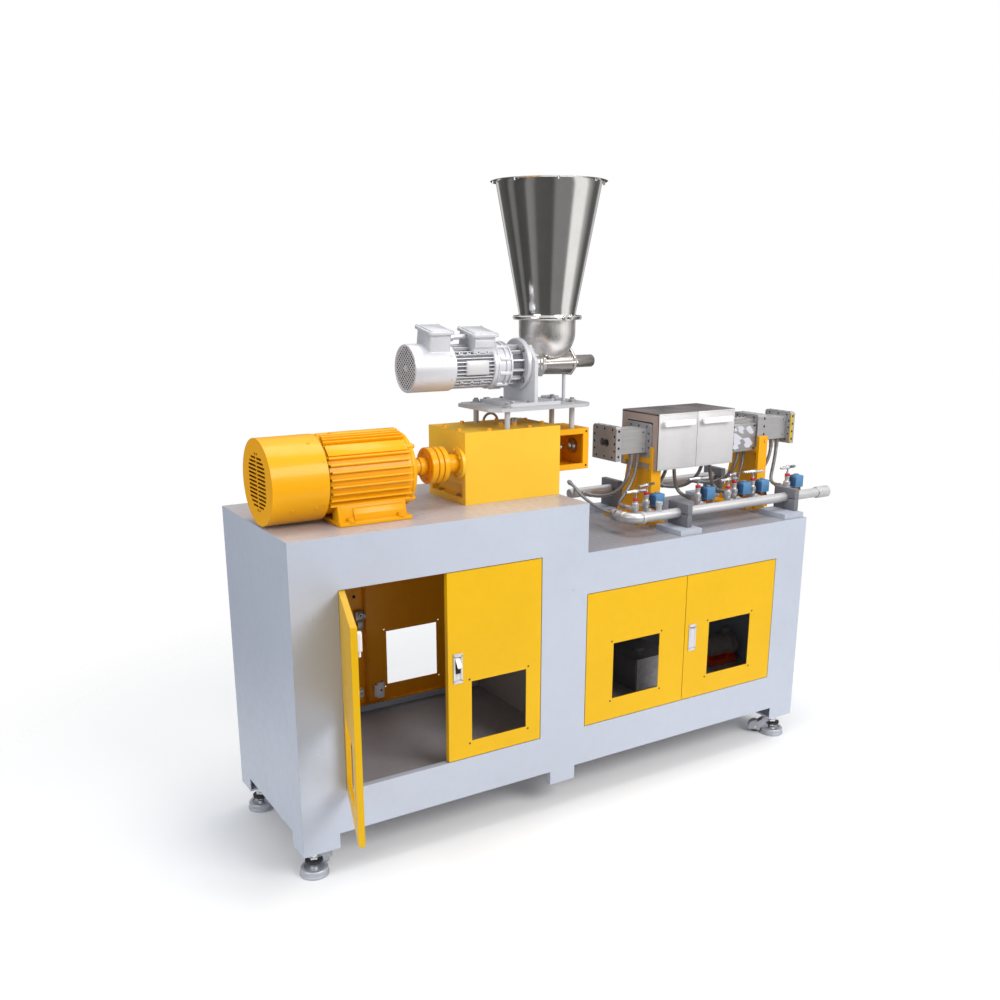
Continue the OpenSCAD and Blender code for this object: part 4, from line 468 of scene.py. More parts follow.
class Piece:
    """Gathers the forms of one object. lathe turns its profiles round axis at the point at."""

    def __init__(self, name, body, *mats, axis="z", at=(0, 0, 0)):
        self.name, self.body, self.mats, self.axis, self.at = name, body, mats, axis, at
        self.bm = bmesh.new()

    def join(self, part, mat=0, bevel=0.0, seg=2):
        if bevel:
            bmesh.ops.bevel(part, geom=part.edges[:], offset=bevel, segments=seg, affect="EDGES", profile=0.5)
        for f in part.faces:
            f.material_index = mat
        me = bpy.data.meshes.new("part")
        part.to_mesh(me)
        part.free()
        self.bm.from_mesh(me)
        bpy.data.meshes.remove(me)

    def box(self, low, high, bevel=1.0, seg=2, mat=0):
        b = bmesh.new()
        bmesh.ops.create_cube(b, size=1.0)
        for v in b.verts:
            v.co = Vector([lo + (hi - lo) * (c + 0.5) for lo, hi, c in zip(low, high, v.co)])
        self.join(b, mat, bevel, seg)

    def prism(self, pts, axis, a, length, bevel=0.0, seg=2, mat=0):
        """Polygon pts in the plane across axis, drawn out along it. x: (y, z), y: (x, z), z: (x, y)."""
        b = bmesh.new()
        k = "xyz".index(axis)
        lower, upper = [[b.verts.new((*q[:k], w, *q[k:])) for q in pts] for w in (a, a + length)]
        b.faces.new(lower)
        b.faces.new(upper)
        for i in range(len(pts)):
            b.faces.new((lower[i - 1], lower[i], upper[i], upper[i - 1]))
        bmesh.ops.recalc_face_normals(b, faces=b.faces[:])
        self.join(b, mat, bevel, seg)

    def lathe(self, profile, segs=64, mat=0, start=0.0, ring=False, axis=None, at=None):
        """profile is (along, radius) pairs. ring closes the profile on itself."""
        b = bmesh.new()
        m, at = AX[axis or self.axis], Vector(at or self.at)
        rows = []
        for along, r in profile:
            if r < 1e-6:
                rows.append([b.verts.new(at + m @ Vector((0, 0, along)))] * segs)
            else:
                rows.append([b.verts.new(at + m @ Vector((*polar(0, 0, r, start + 360 * i / segs), along)))
                             for i in range(segs)])
        for p, q in list(zip(rows, rows[1:])) + ([(rows[-1], rows[0])] if ring else []):
            for i in range(segs):
                j = (i + 1) % segs
                quad = [p[i], p[j], q[j], q[i]]
                face = [v for k, v in enumerate(quad) if v not in quad[:k]]
                if len(face) > 2:
                    b.faces.new(face)
        bmesh.ops.recalc_face_normals(b, faces=b.faces[:])
        self.join(b, mat)

    def tube(self, rows, b, mat, caps):
        """Skin over rows of vertices of the same count."""
        for p, q in zip(rows, rows[1:]):
            for i in range(len(p)):
                j = (i + 1) % len(p)
                b.faces.new((p[i], p[j], q[j], q[i]))
        if caps:
            b.faces.new(rows[0][::-1])
            b.faces.new(rows[-1])
        self.join(b, mat)

    def rod(self, a, b, r, segs=24, bevel=0.6, mat=0, spin=0.0):
        """Bar with bevelled ends from a to b."""
        a, b = Vector(a), Vector(b)
        l = (b - a).length
        q = (b - a).to_track_quat("Z", "Y").to_matrix()
        c = min(bevel, r * 0.4, l * 0.4)
        bm = bmesh.new()
        rows = []
        for along, rad in ((0, r - c), (c, r), (l - c, r), (l, r - c)) if c > 0 else ((0, r), (l, r)):
            turns = [spin + 2 * math.pi * i / segs for i in range(segs)]
            rows.append([bm.verts.new(a + q @ Vector((rad * math.cos(t), rad * math.sin(t), along))) for t in turns])
        self.tube(rows, bm, mat, True)

    def bar(self, axis, u, v, a, b, *how):
        """Rod along axis from a to b; u and v are its other two coordinates."""
        k = "xyz".index(axis)
        self.rod(*[(*(u, v)[:k], w, *(u, v)[k:]) for w in (a, b)], *how)

    def hexhead(self, at, along, r=7, h=6, washer=0.0, mat=0):
        at, along = Vector(at), Vector(along)
        if washer:
            self.rod(at, at + along * 1.5, washer, 20, 0.4, mat)
        self.rod(at, at + along * h, r, 6, 0.8, mat, 0.3)

    def stud(self, x, t, r, h, rad, bevel, segs=16, mat=0):
        """Stud on radius r, at t degrees round the piece's line along x."""
        self.rod(*[(x, *polar(*self.at[1:], k, t)) for k in (r, r + h)], rad, segs, bevel, mat)

    def fin(self, t, r0, r1, w, xa, xb, bevel, tip=False):
        """Fin along x, at t degrees round the piece's line; tip rounds its outer edge."""
        end = r1 - w / 2 if tip else r1
        flat = [(r0, -w / 2), (end, -w / 2)]
        if tip:
            flat += arc(end, 0, w / 2, -60, 60, 4)
        y, z = self.at[1:]
        c, s = cosd(t), sind(t)
        pts = [(y + a * c - b * s, z + a * s + b * c) for a, b in flat + [(end, w / 2), (r0, w / 2)]]
        self.prism(pts, "x", xa, xb - xa, bevel, 1)

    def sweep(self, path, r, sides=14, mat=0, caps=True):
        """Round bar along path, a list of points."""
        pts = [Vector(p) for p in path]
        n = len(pts)
        bm = bmesh.new()
        t0 = (pts[1] - pts[0]).normalized()
        u = t0.cross(Z if abs(t0.z) < 0.9 else X).normalized()
        rows = []
        for i in range(n):
            t = (pts[min(i + 1, n - 1)] - pts[max(i - 1, 0)]).normalized()
            u = (u - t * u.dot(t)).normalized()
            w = t.cross(u)
            turns = [360 * k / sides for k in range(sides)]
            rows.append([bm.verts.new(pts[i] + (u * cosd(a) + w * sind(a)) * r) for a in turns])
        self.tube(rows, bm, mat, caps)

    def turned(self, build, matrix):
        """Adds the forms that build makes, moved by matrix."""
        first = len(self.bm.verts)
        build(self)
        self.bm.verts.ensure_lookup_table()
        for v in self.bm.verts[first:]:
            v.co = matrix @ v.co

    def done(self, *replaced):
        for v in self.bm.verts:
            v.co = P(*v.co)
        me = bpy.data.meshes.new(self.name)
        self.bm.to_mesh(me)
        self.bm.free()
        me.shade_smooth()
        me.set_sharp_from_angle(angle=math.radians(32))
        o = bpy.data.objects.new(self.name, me)
        for m in self.mats:
            me.materials.append(M[m])
        scene.collection.objects.link(o)
        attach(o, self.body)
        if replaced:
            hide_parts(*replaced)
        return o


# ---- main motor

def main_motor():
    cy, cz = DRIVE_AXIS
    x0, x1 = 168, 415
    m = Piece("motor_housing", "machine", "drive", "drive_dark", axis="x", at=(0, cy, cz))
    m.lathe([(x0, 0), (x0, 104), (x0 + 2, 106), (x1, 106), (x1, 0)], 96)
    for side in (1, -1):
        def across(up):
            return up if side > 0 else 180 - up

        for i, up in enumerate((33, 23, 13, 3, -7, -17, -27, -37)):
            m.fin(across(up), 100, 118.6, 6.5, x0 + 1 + (i % 3) * 1.5, x1 - 3 - (i % 2) * 4, 0.6, True)
        for i, up in enumerate((60.5, 67.5, 74.5, 81.5)):
            m.fin(across(up), 100, 118.8, 4.6, x0 + 2 + i * 3, x1 - 2, 0.6, True)
        # plain facet between the side fins and the top fins
        facet = [polar(cy, cz, r, across(up)) for up, r in ((37.5, 100), (37.5, 112.5), (56.5, 112.5), (56.5, 100))]
        m.prism(facet, "x", x0 + 4, x1 - x0 - 8, 2.0)
    m.box((215, cy - 14, 1120), (415, cy + 14, 1148.5), 3)
    m.box((398, cy - 9, 1140), (412, cy + 9, 1149), 2)
    # end shield with its bolts and through-bolt ears
    m.lathe([(x1 + a, r) for a, r in ((-1, 0), (-1, 105), (3, 108), (9, 108.5), (14, 106), (18, 99), (20, 84),
                                      (21, 62), (22, 58), (22, 34), (18, 30), (18, 0))], 96)
    for p in around(x1 + 17, DRIVE_AXIS, 104, 4, 45):
        m.rod(p - 33 * X, p, 9, 20, 2)
        m.hexhead(p, X, 6.5, 4)
    for p in around(x1 + 21, DRIVE_AXIS, 47, 6, 30):
        m.hexhead(p, X, 4.5, 4)
    # foot: flange, pedestal walls and raised plates
    m.box((186, 85.5, 906), (405, 324.5, 918), 2.5)
    walls = ((188, 206, 2, ((107, 916), (98, 958), (86, 972), (60, 976), (60, 916))),
             (232, 152, 1.6, ((109.5, 916), (109.5, 936), (103, 952), (96, 953), (96, 916))))
    for side in (-1, 1):
        for x, length, bevel, wall in walls:
            m.prism([(cy + side * a, z) for a, z in wall], "x", x, length, bevel)
        for x in (220, 371):
            top = (x, cy + side * 113, 921)
            m.rod((x, cy + side * 113, 917), top, 11, 28, 1)
            m.hexhead(top, Z, 9, 8)
    m.done("motor_body")

    # cowl: rolled rim over the grille and small screws
    c = Piece("motor_cowl_trim", "machine", "drive", axis="x", at=(0, cy, cz))
    rim = [(9.2 - 7 * sind(a), 111.8 + 7 * cosd(a)) for a in range(0, 91, 15)]
    c.lathe(rim + [(2.0, 96), (2.4, 92), (4, 90.5), (6, 92), (9, 108)], 128, ring=True)
    for x, t in ((60, 214), (128, 214), (60, -34), (128, -34), (128, 120), (128, 60)):
        c.stud(x, t, 118.2, 3.6, 3.6, 1.2)
    c.done()


# ---- feeder drive

def terminal_box(m, xa, xb, y, w, top, base):
    """Cast box from xa to xb and of width w round y, with its lid and four screws."""
    ya, yb = y - w / 2, y + w / 2
    m.box((xa + 8, ya + 8, base - 12), (xb - 8, yb - 8, top - 12), 3.5, 3)
    m.box((xa + 16, ya + 14, base - 20), (xb - 16, yb - 14, base - 2), 3)
    m.prism(rounded(xa, ya, xb, yb, 9), "z", top - 12, 9, 1.6)
    m.prism(rounded(xa + 9, ya + 9, xb - 9, yb - 9, 8), "z", top - 4, 4, 1.6)
    for sx in (xa + 6.5, xb - 6.5):
        for sy in (ya + 6.5, yb - 6.5):
            m.bar("z", sx, sy, top - 4, top - 0.6, 4, 16, 0.8)
            # black hexagon in each screw head: painted shade in its socket
            m.bar("z", sx, sy, top - 0.9, top - 0.4, 1.6, 6, 0, 1)


def feeder_motor():
    cy, cz = FEEDER_AXIS
    x0, x1, x2 = 483.5, 619.5, 762.5
    m = Piece("feeder_motor_housing", "machine", "silver", "black_and_shade", "sheet", "silver_dark", axis="x", at=(0, cy, cz))
    # cowl with its lattice: two sets of crossing bars on a dark disc, which is painted shade inside the cowl
    m.lathe([(x0 + 9, 60), (x0 + 3, 62), (x0 + 0.3, 64), (x0, 66.5), (x0 + 1.4, 69.2), (x0 + 4, 70), (x1, 70),
             (x1, 66)], 96)
    m.lathe([(x0 + 9.5, 0), (x0 + 9.5, 66)], 64, 1)
    for t in (52, -52):
        for k in range(-6, 7):
            d = k * 9.4
            h = math.sqrt(63.5 ** 2 - d * d)
            m.rod(*[(x0 + 3.4, cy + d * cosd(t) - s * h * sind(t), cz + d * sind(t) + s * h * cosd(t))
                    for s in (1, -1)], 1.8, 6, 0)
    m.lathe([(x0 + 1.2, 0), (x0 + 1.2, 8), (x0 + 4, 9)], 32)
    for x, t in ((x1 - 14, 150), (x1 - 46, 160), (x1 - 14, 206), (x1 - 14, 30), (x1 - 14, -30)):
        m.stud(x, t, 69.6, 2.6, 3.2, 0.8)
    # body with fins
    m.lathe([(x1 - 2, 0), (x1 - 2, 58), (x2, 58), (x2, 0)], 72, 3)
    for side in (1, -1):
        for up in (44, 34, 24, 14, 4, -6, -16, -26, -36, -46):
            m.fin(up if side > 0 else 180 - up, 54, 66.3, 3.0, x1 + 1, x2 - 12, 0.5)
    for up in (60, 75, 90, 105, 120, 240, 255, 270, 285, 300):
        m.fin(up, 54, 66, 3.0, x1 + 1, x2 - 12, 0.5)
    m.lathe([(x2 - 13, 56), (x2 - 13, 68), (x2 - 11, 70), (x2 - 1, 70), (x2, 68), (x2, 56)], 72)
    # lugs with screws above and below the plate, on both sides
    for side in (-1, 1):
        for up, x in ((38, 640), (38, 668), (38, 700), (38, 730), (-44, 645), (-44, 680), (-44, 715)):
            t = up if side > 0 else 180 - up
            m.stud(x, t, 60, 9, 6.5, 1)
            m.stud(x, t, 69, 1, 2.5, 0, 8, 1)
        y = cy + side * 62
        m.box((x1 + 34, y - 6, cz - 22), (x1 + 110, y + 6, cz + 20), 2.2)
        y = cy + side * 68
        m.box((x1 + 37, y - 1, cz - 19), (x1 + 107, y + 1, cz + 17), 0.7, 2, 2)

    def boxes(s):
        terminal_box(s, 529.5, 613.5, cy, 100, 1425, 1368)
        terminal_box(s, 673.5, 763.5, cy, 106, 1416, 1366)
        s.box((681.5, cy - 52.5, 1374), (749.5, cy - 43, 1398), 2.0)
        # cable gland between the boxes
        s.bar("x", cy, 1396, 605, 632, 13, 6, 1)
        s.bar("x", cy, 1396, 632, 684, 8, 20, 1)
    # the boxes are turned a little to the front round the motor's axis
    m.turned(boxes, place((0, cy, cz), 11, "X", (0, -cy, -cz)))
    m.done("feeder_motor")


def feeder_reducer():
    g = Piece("feeder_gear_housing", "machine", "silver", "black_and_shade", "silver_dark", "steel", axis="x",
              at=(0, *FEEDER_AXIS))
    # slotted ring
    g.lathe([(762.7, 30), (762.7, 69), (764, 70.5), (770, 70.5), (771, 66), (790, 66), (791, 70.5), (798, 70.5),
             (799, 66), (807, 66), (808, 70), (813, 70), (814.5, 68), (814.5, 30)], 72)
    for p in around(768, FEEDER_AXIS, 68, 10, 18):
        g.box(p + Vector((0, -5, -5)), p + Vector((40, 5, 5)), 1.5)
    for p in around(814.5, FEEDER_AXIS, 62, 6, 30):
        g.hexhead(p, X, 4.5, 4)
    # neck with ribs, disc with bolts
    g.lathe([(814, 0), (814, 55), (822, 48), (857, 48), (863, 54), (863, 0)], 64, 2)
    for i in range(12):
        g.fin(30 * i + 15, 46, 61, 5, 815, 862, 0.8)
    g.lathe([(862.5, 0), (862.5, 76), (865, 78.6), (869, 79), (876.7, 79), (876.7, 0)], 96)
    for p in around(862.4, FEEDER_AXIS, 66, 4, 45):
        g.hexhead(p, -X, 7, 8, 9.5, 3)
    g.done("feeder_reducer")


# ---- hopper, bowl and clamp

def hopper():
    z0, z1 = CLAMP_Z, 1842
    h = Piece("hopper_shell", "machine", "polished", at=(HOPPER_X, HOPPER_Y, 0))
    slope = (161 - 88.5) / (z1 - z0 - 12)
    outer = [(z0 + 5.2, 101), (z0 + 3, 101.4), (z0 + 0.4, 101), (z0 + 0.4, 86.5)]
    inner = [(z0 + 12, 86.6), (z1 - 3, 159)]
    lip = [(z1 - 1.2, 176.2), (z1 - 0.4, 177), (z1 - 0.1, 176.4), (z1, 162), (z1 - 4, 161.0)]
    climb = [(z1 - z0 - 18) * i / 24 for i in range(24, -1, -1)]
    wall = [(z0 + 12 + s, 88.6 + slope * s) for s in climb]
    h.lathe(outer + inner + lip + wall + [(z0 + 8, 89.2)], 128, ring=True)
    for i in range(8):
        spot = polar(HOPPER_X, HOPPER_Y, 169, 20 + 45 * i)
        h.rod((*spot, z1 - 9), (*spot, z1 - 1), 3.6, 12, 0.8)
    h.done("hopper")


def bowl():
    """Round bowl that narrows to the trough, with the octagonal flanges and the discharge tube."""
    x, y, z1, zb, zf, r = HOPPER_X, HOPPER_Y, CLAMP_Z, 1400, FEEDER_AXIS[1], 88.4
    b = Piece("bowl_shell", "machine", "satin", "steel", "black_and_shade", "trough", axis="x", at=(0, y, zf))
    wall = [(z1, 84), (z1, 101), (z1 - 1.5, 101.5), (z1 - 4.4, 101.3), (z1 - 5, 90), (z1 - 8, 88.6)]
    wall += [(zb + (z1 - 12 - zb) * i / 4, r) for i in range(4, 0, -1)]
    wall += [(zb - r * sind(a), r * cosd(a)) for a in range(0, 76, 5)]
    wall += [(zb - (r - 2.4) * sind(a), (r - 2.4) * cosd(a)) for a in range(75, -1, -15)]
    b.lathe(wall + [(z1 - 1, 84)], 96, ring=True, axis="z", at=(x, y, 0))
    # fold that runs down the bowl between its two lobes
    for v in b.bm.verts:
        t = max(0.0, min(1.0, ((zb - v.co.z) / r + 0.3) / 1.3))
        for side in (220.5, 40.5):
            d = (math.degrees(math.atan2(v.co.y - y, v.co.x - x)) - side + 180) % 360 - 180
            k = 1 - 0.26 * t ** 1.3 * math.exp(-(d / 17) ** 2)
            v.co.x, v.co.y = x + (v.co.x - x) * k, y + (v.co.y - y) * k
    # trough and its weld
    b.lathe([(945, 0), (945, 35), (953, 35), (1000, 37), (1059, 38.5), (1067, 38.5), (1067, 0)], 64, 3)
    b.sweep([(x + 38 * cosd(11.25 * i), y + 27 * sind(11.25 * i), zf + 24) for i in range(33)], 2.2, 8, 0, False)
    # octagonal flanges with screws, tie rods, collar and tube
    for xa in (945, 1059):
        b.prism([polar(y, zf, 44, 22.5 + 45 * i) for i in range(8)], "x", xa, 8, 1.2)
        b.lathe([(xa + 3.4, 44.2), (xa + 4.6, 44.2), (xa + 4.6, 40), (xa + 3.4, 40)], 8, 2, 22.5, True)
    for s in (-1, 1):
        b.bar("x", y + s * 38, zf, 940, 1074, 3.6, 16, 0.8)
        b.hexhead((1067, y + s * 38, zf), X, 5.5, 6)
        b.hexhead((945, y + s * 38, zf), -X, 5.5, 6)
    b.lathe([(889.4, 16), (889.4, 38), (896, 38), (898, 30), (936, 30), (938, 36), (945, 36)], 48)
    b.lathe([(1067, 16), (1067, 23), (1070, 23), (1072, 19.3), (1153.5, 19.3), (1156, 17.8), (1156, 16.4),
             (1067, 16.4)], 48, 3)
    b.done("feed_bowl")


def clamp_ring():
    x, y, z = HOPPER_X, HOPPER_Y, CLAMP_Z
    c = Piece("clamp_band", "machine", "polished", at=(x, y, 0))
    ring = [(z + 6.4 * sind(a), 102.4 + 5.1 * cosd(a)) for a in range(-110, 111, 20)]
    c.lathe(ring + [(z + 4, 98.5), (z - 4, 98.5)], 96, ring=True)
    # toggle clasp at the front and the eye at the right
    yf = y - 107.5
    for xa in (x - 17, x + 5):
        c.box((xa, yf - 6.8, z - 7.5), (xa + 12, yf + 5, z + 7.5), 2.4, 3)
    for w, dz in ((17, 5.2), (16, -5.4)):
        c.bar("x", yf - 3.6, z + dz, x - w, x + w, 2.6, 16, 0.8)
    for dx in (-11, 11):
        c.bar("z", x + dx, yf - 3, z - 9.8, z + 9.8, 4.2, 16, 1.4)
    c.bar("x", y, z, x + 100, x + 118.6, 3.6, 16, 1.4)
    c.lathe([(-4.5, 2), (-4.5, 6), (-2.5, 7.4), (2.5, 7.4), (4.5, 6), (4.5, 2)], 20, at=(x + 111, y, z))
    c.done("hopper_clamp")


# ---- barrel covers

def cover(i):
    x0 = 1369.65 + (i - 1) * 171.4
    x1, y0, y1, z0, z1, t = x0 + 170, 172.5, 369.5, 940, 1130, 1.6
    body = "heater_cover_%d" % i
    c = Piece("cover_shell_%d" % i, body, "sheet", "cover_top", "cover_end", "handle_coat", "black_and_shade")
    # front and rear sheets, top sheet, folded seams just inside the front's outline
    for y in (y0, y1 - t):
        c.box((x0, y, z0), (x1, y + t, z1 - 1), 0.7)
    c.box((x0 + 0.2, y0 + 0.4, z1 - t), (x1 - 0.2, y1 - 0.4, z1), 0.7, 2, 1)
    for z in (z0 + 4, z1 - 6):
        c.box((x0 + 4, y0, z), (x1 - 4, y0 + 0.4, z + 0.8), 0.1, 1)
    # end frames round the barrel's opening, with a rim folded back on the left one
    ya, yb, za, zb = 205.5, 336.5, 975, 1098
    for x in (x0, x1 - t):
        for low, high in (((y0 + t, z0), (ya, z1 - t)), ((yb, z0), (y1 - t, z1 - t)), ((ya, zb), (yb, z1 - t)),
                          ((ya, z0), (yb, za))):
            c.box((x, *low), (x + t, *high), 0.5, 1, 2)
    for low, high in (((y0 + 2, z1 - 7), (y1 - 2, z1 - 2)), ((y0 + 0.4, z0 + 2), (y0 + 6, z1 - 2))):
        c.box((x0, *low), (x0 + 4, *high), 0.8, 2, 2)
    # white handle on two feet
    hx, hy = x0 + 10, y0 - 22
    c.prism(rounded(hx, 1088, hx + 134, 1108, 6, 5), "y", hy, 8, 2.2, 3, 3)
    for x in (hx + 9, hx + 112):
        c.box((x, hy + 5, 1091), (x + 13, y0 + 0.6, 1105), 2.5, 3, 3)
    c.done(body)


def junction():
    x0, x1, y0, y1, z0, z1 = 1741.4, 1859.4, 211, 231, 966.5, 1065.5
    j = Piece("junction_film", "machine", "film", "black_and_shade", "steel")
    # crinkled film over the sheet, flat at its edges
    cols, steps = 28, 24
    b = bmesh.new()
    grid = []
    for a in range(cols + 1):
        grid.append([])
        for k in range(steps + 1):
            u, v = a / cols, k / steps
            rise = min(1, min(u, v, 1 - u, 1 - v) / 0.12)
            wave = (math.sin(9 * u + 5 * v * v + 1.3) * math.cos(7 * v - 4 * u * u)
                    + 0.5 * math.sin(19 * u * v + 4 * u) + 0.35 * math.sin(31 * v + 13 * u))
            grid[a].append(b.verts.new((x0 + 1 + (x1 - x0 - 2) * u, y0 + 2.0 - 0.9 * rise * (wave + 1.2),
                                        z0 + 1 + (z1 - z0 - 2) * v)))
    for p, q in zip(grid, grid[1:]):
        for k in range(steps):
            b.faces.new((p[k], q[k], q[k + 1], p[k + 1]))
    j.join(b)
    j.box((x0, y0 + 1, z0), (x1, y1, z1), 1.2, 2, 2)
    for x in (x0 + 9, x1 - 9):
        for z in (z0 + 9, z1 - 9):
            j.bar("y", x, z, y0 + 1, y0 - 1.9, 3.5, 16, 0.8, 1)
    # sensor block on top
    j.box((1772, 232, 1066), (1832, 268, 1087), 3, 3, 2)
    for x in (1784, 1802, 1820):
        j.bar("z", x, 240, 1086, 1089.4, 3.2, 12, 0.6, 1)
    j.done("junction_box")


# ---- valves, coils, hoses and pipes

def valves():
    v = Piece("valve_bodies", "machine", "pipe", "red", "brass", "steel")
    for i, (x, y, top) in enumerate(VALVES):
        # body: foot, cast middle, hexagon, bonnet and the red ring
        v.lathe([(800, 0), (800, 9.2), (802, 10), (822, 10), (826, 12), (832, 12)], 28, at=(x, y, 0))
        v.bar("z", x, y, 832, 845, 13, 6, 1.0)
        v.lathe([(845, 11), (847, 9), (850, 8.2), (top - 14, 8.2), (top - 13, 9.4), (top - 9, 9.4), (top - 8, 8)],
                28, at=(x, y, 0))
        v.lathe([(-8, 7), (-8, 8.9), (-7, 9.4), (-1.2, 9.4), (0, 8.6), (0, 3)], 28, 1, at=(x, y, top))
        # socket to the pipe with its nut, and the outlet at the back
        v.bar("y", x, 810, 104, y - 6, 8, 20, 0.8)
        v.bar("y", x, 810, y - 24, y - 12, 11.5, 6, 1.0)
        if i in (1, 3):
            v.bar("y", x, 825, y, y + 12, 7, 20, 0.8)
            v.bar("y", x, 825, y + 11, y + 22, 8.5, 6, 0.8)
        else:
            v.bar("y", x, 825, y, 196, 7, 20, 0.8)
            v.bar("y", x, 825, y + 12, y + 21, 9, 6, 0.8)
    for x in COILS:
        v.bar("x", 165, 810, x, x + 30, 7, 20, 0.6)
        v.box((x + 28, 151, 798), (x + 56, 179, 822), 2.2, 3, 2)
        v.bar("x", 165, 810, x + 18, x + 28, 10.5, 6, 0.8, 2)
        v.bar("x", 165, 810, x + 56, x + 63, 9.5, 6, 0.8, 2)
    v.done("coolant_valves")

    half = [(-41, 0), (-41, 4.1), (-39.6, 5.2), (-36, 5.5), (-10, 5.5), (-8, 6.6), (-5, 7.3)]
    bar = half + [(-a, r) for a, r in half[::-1]]
    for i, (x, y, top) in enumerate(VALVES):
        body = "valve_handle_%d" % (i + 1)
        h = Piece("bar_handle_%d" % (i + 1), body, "chrome", axis="x")
        h.turned(lambda s: s.lathe(bar, 28), place((x, y, top + 24), HANDLE_TURNS[i]))
        h.bar("z", x, y, top - 10, top + 20, 2.9, 16, 0.3)
        h.bar("z", x, y, top + 1, top + 8, 5, 6, 0.6)
        h.done(body)

    k = Piece("coil_cases", "machine", "coil", "coil_painted_shade", "steel")
    for x, y in [(x + 42, 165) for x in COILS]:
        k.box((x - 19, y - 19, 822.3), (x + 20, y + 19, 866), 3.2, 3)
        # bevelled left face that catches less light, in a darker blue as painted shade, ribs round the case and the
        # plug of the cable
        k.prism([(x - 20, 828), (x - 14, 824), (x - 14, 864), (x - 20, 858)], "y", y - 17, 34, 1.4, 2, 1)
        k.box((x - 13, y - 19.6, 829), (x + 13, y - 17, 859), 1.4)
        k.box((x + 8, y - 12, 826), (x + 20.0, y + 12, 862), 3, 3)
        k.bar("z", x, y, 865, 870.6, 9, 24, 1.6)
        k.bar("z", x, y, 870, 872, 5, 6, 0.5, 2)
        k.bar("y", x - 16, 866, y + 8, y - 8, 1.6, 10, 0.4, 2)
    k.done("solenoid_coils")


def fitting(h, at, way, l):
    """Pressed sleeve on the hose's end and the hexagon nut beyond it."""
    for a, b, r, segs, bevel in ((-17, 1, 7.5, 20, 0.9), (-13, -10, 7.9, 20, 0.5), (0, l - 5, 9.2, 6, 1.0),
                                 (l - 6, l - 0.2, 7, 20, 0.4)):
        h.rod(at + way * a, at + way * b, r, segs, bevel, 1)


def cooling_hoses():
    """From each section one hose to the rear pipe and one to a valve."""
    h = Piece("hose_set", "machine", "braid", "steel")
    for i, feed in enumerate((1262, 1555, 1727, 1817, 1993)):
        x = BARREL_X + SECTION * i
        for xa, b, pull in ((x + 98, (x + 48, 419.2, 830), -120), (x + 126, (feed, 210, 825), 70)):
            a, b = Vector((xa, 250, 978.5)), Vector(b)
            h.sweep(bezier(a, a - 120 * Z, b + pull * Y, b), 6.2)
            fitting(h, a, Z, 18)
            fitting(h, b, Y if pull < 0 else -Y, 14)
    h.done("cooling_hoses")


def loose_hose():
    nut = Piece("loose_hose_end", "machine", "steel", "black_and_shade")
    end = Vector(ROUTE[-1])
    d = (end - Vector(ROUTE[-2])).normalized()
    nut.rod(end - d * 14, end - d * 0.5, 6.6, 20, 0.8)
    nut.rod(end, end + d * 12.5, 9, 6, 0.9)
    nut.rod(end + d * 12, end + d * 16, 7.4, 24, 0.6)
    # black disc in the nut's bore: painted shade
    nut.rod(end + d * 15.6, end + d * 16.1, 4.4, 20, 0, 1)
    fitting = nut.done("loose_hose_nut")
    hose = Piece("loose_hose_line", "machine", "braid")
    hose.sweep(ROUTE, 5.5, 16)
    o = hose.done("loose_hose")


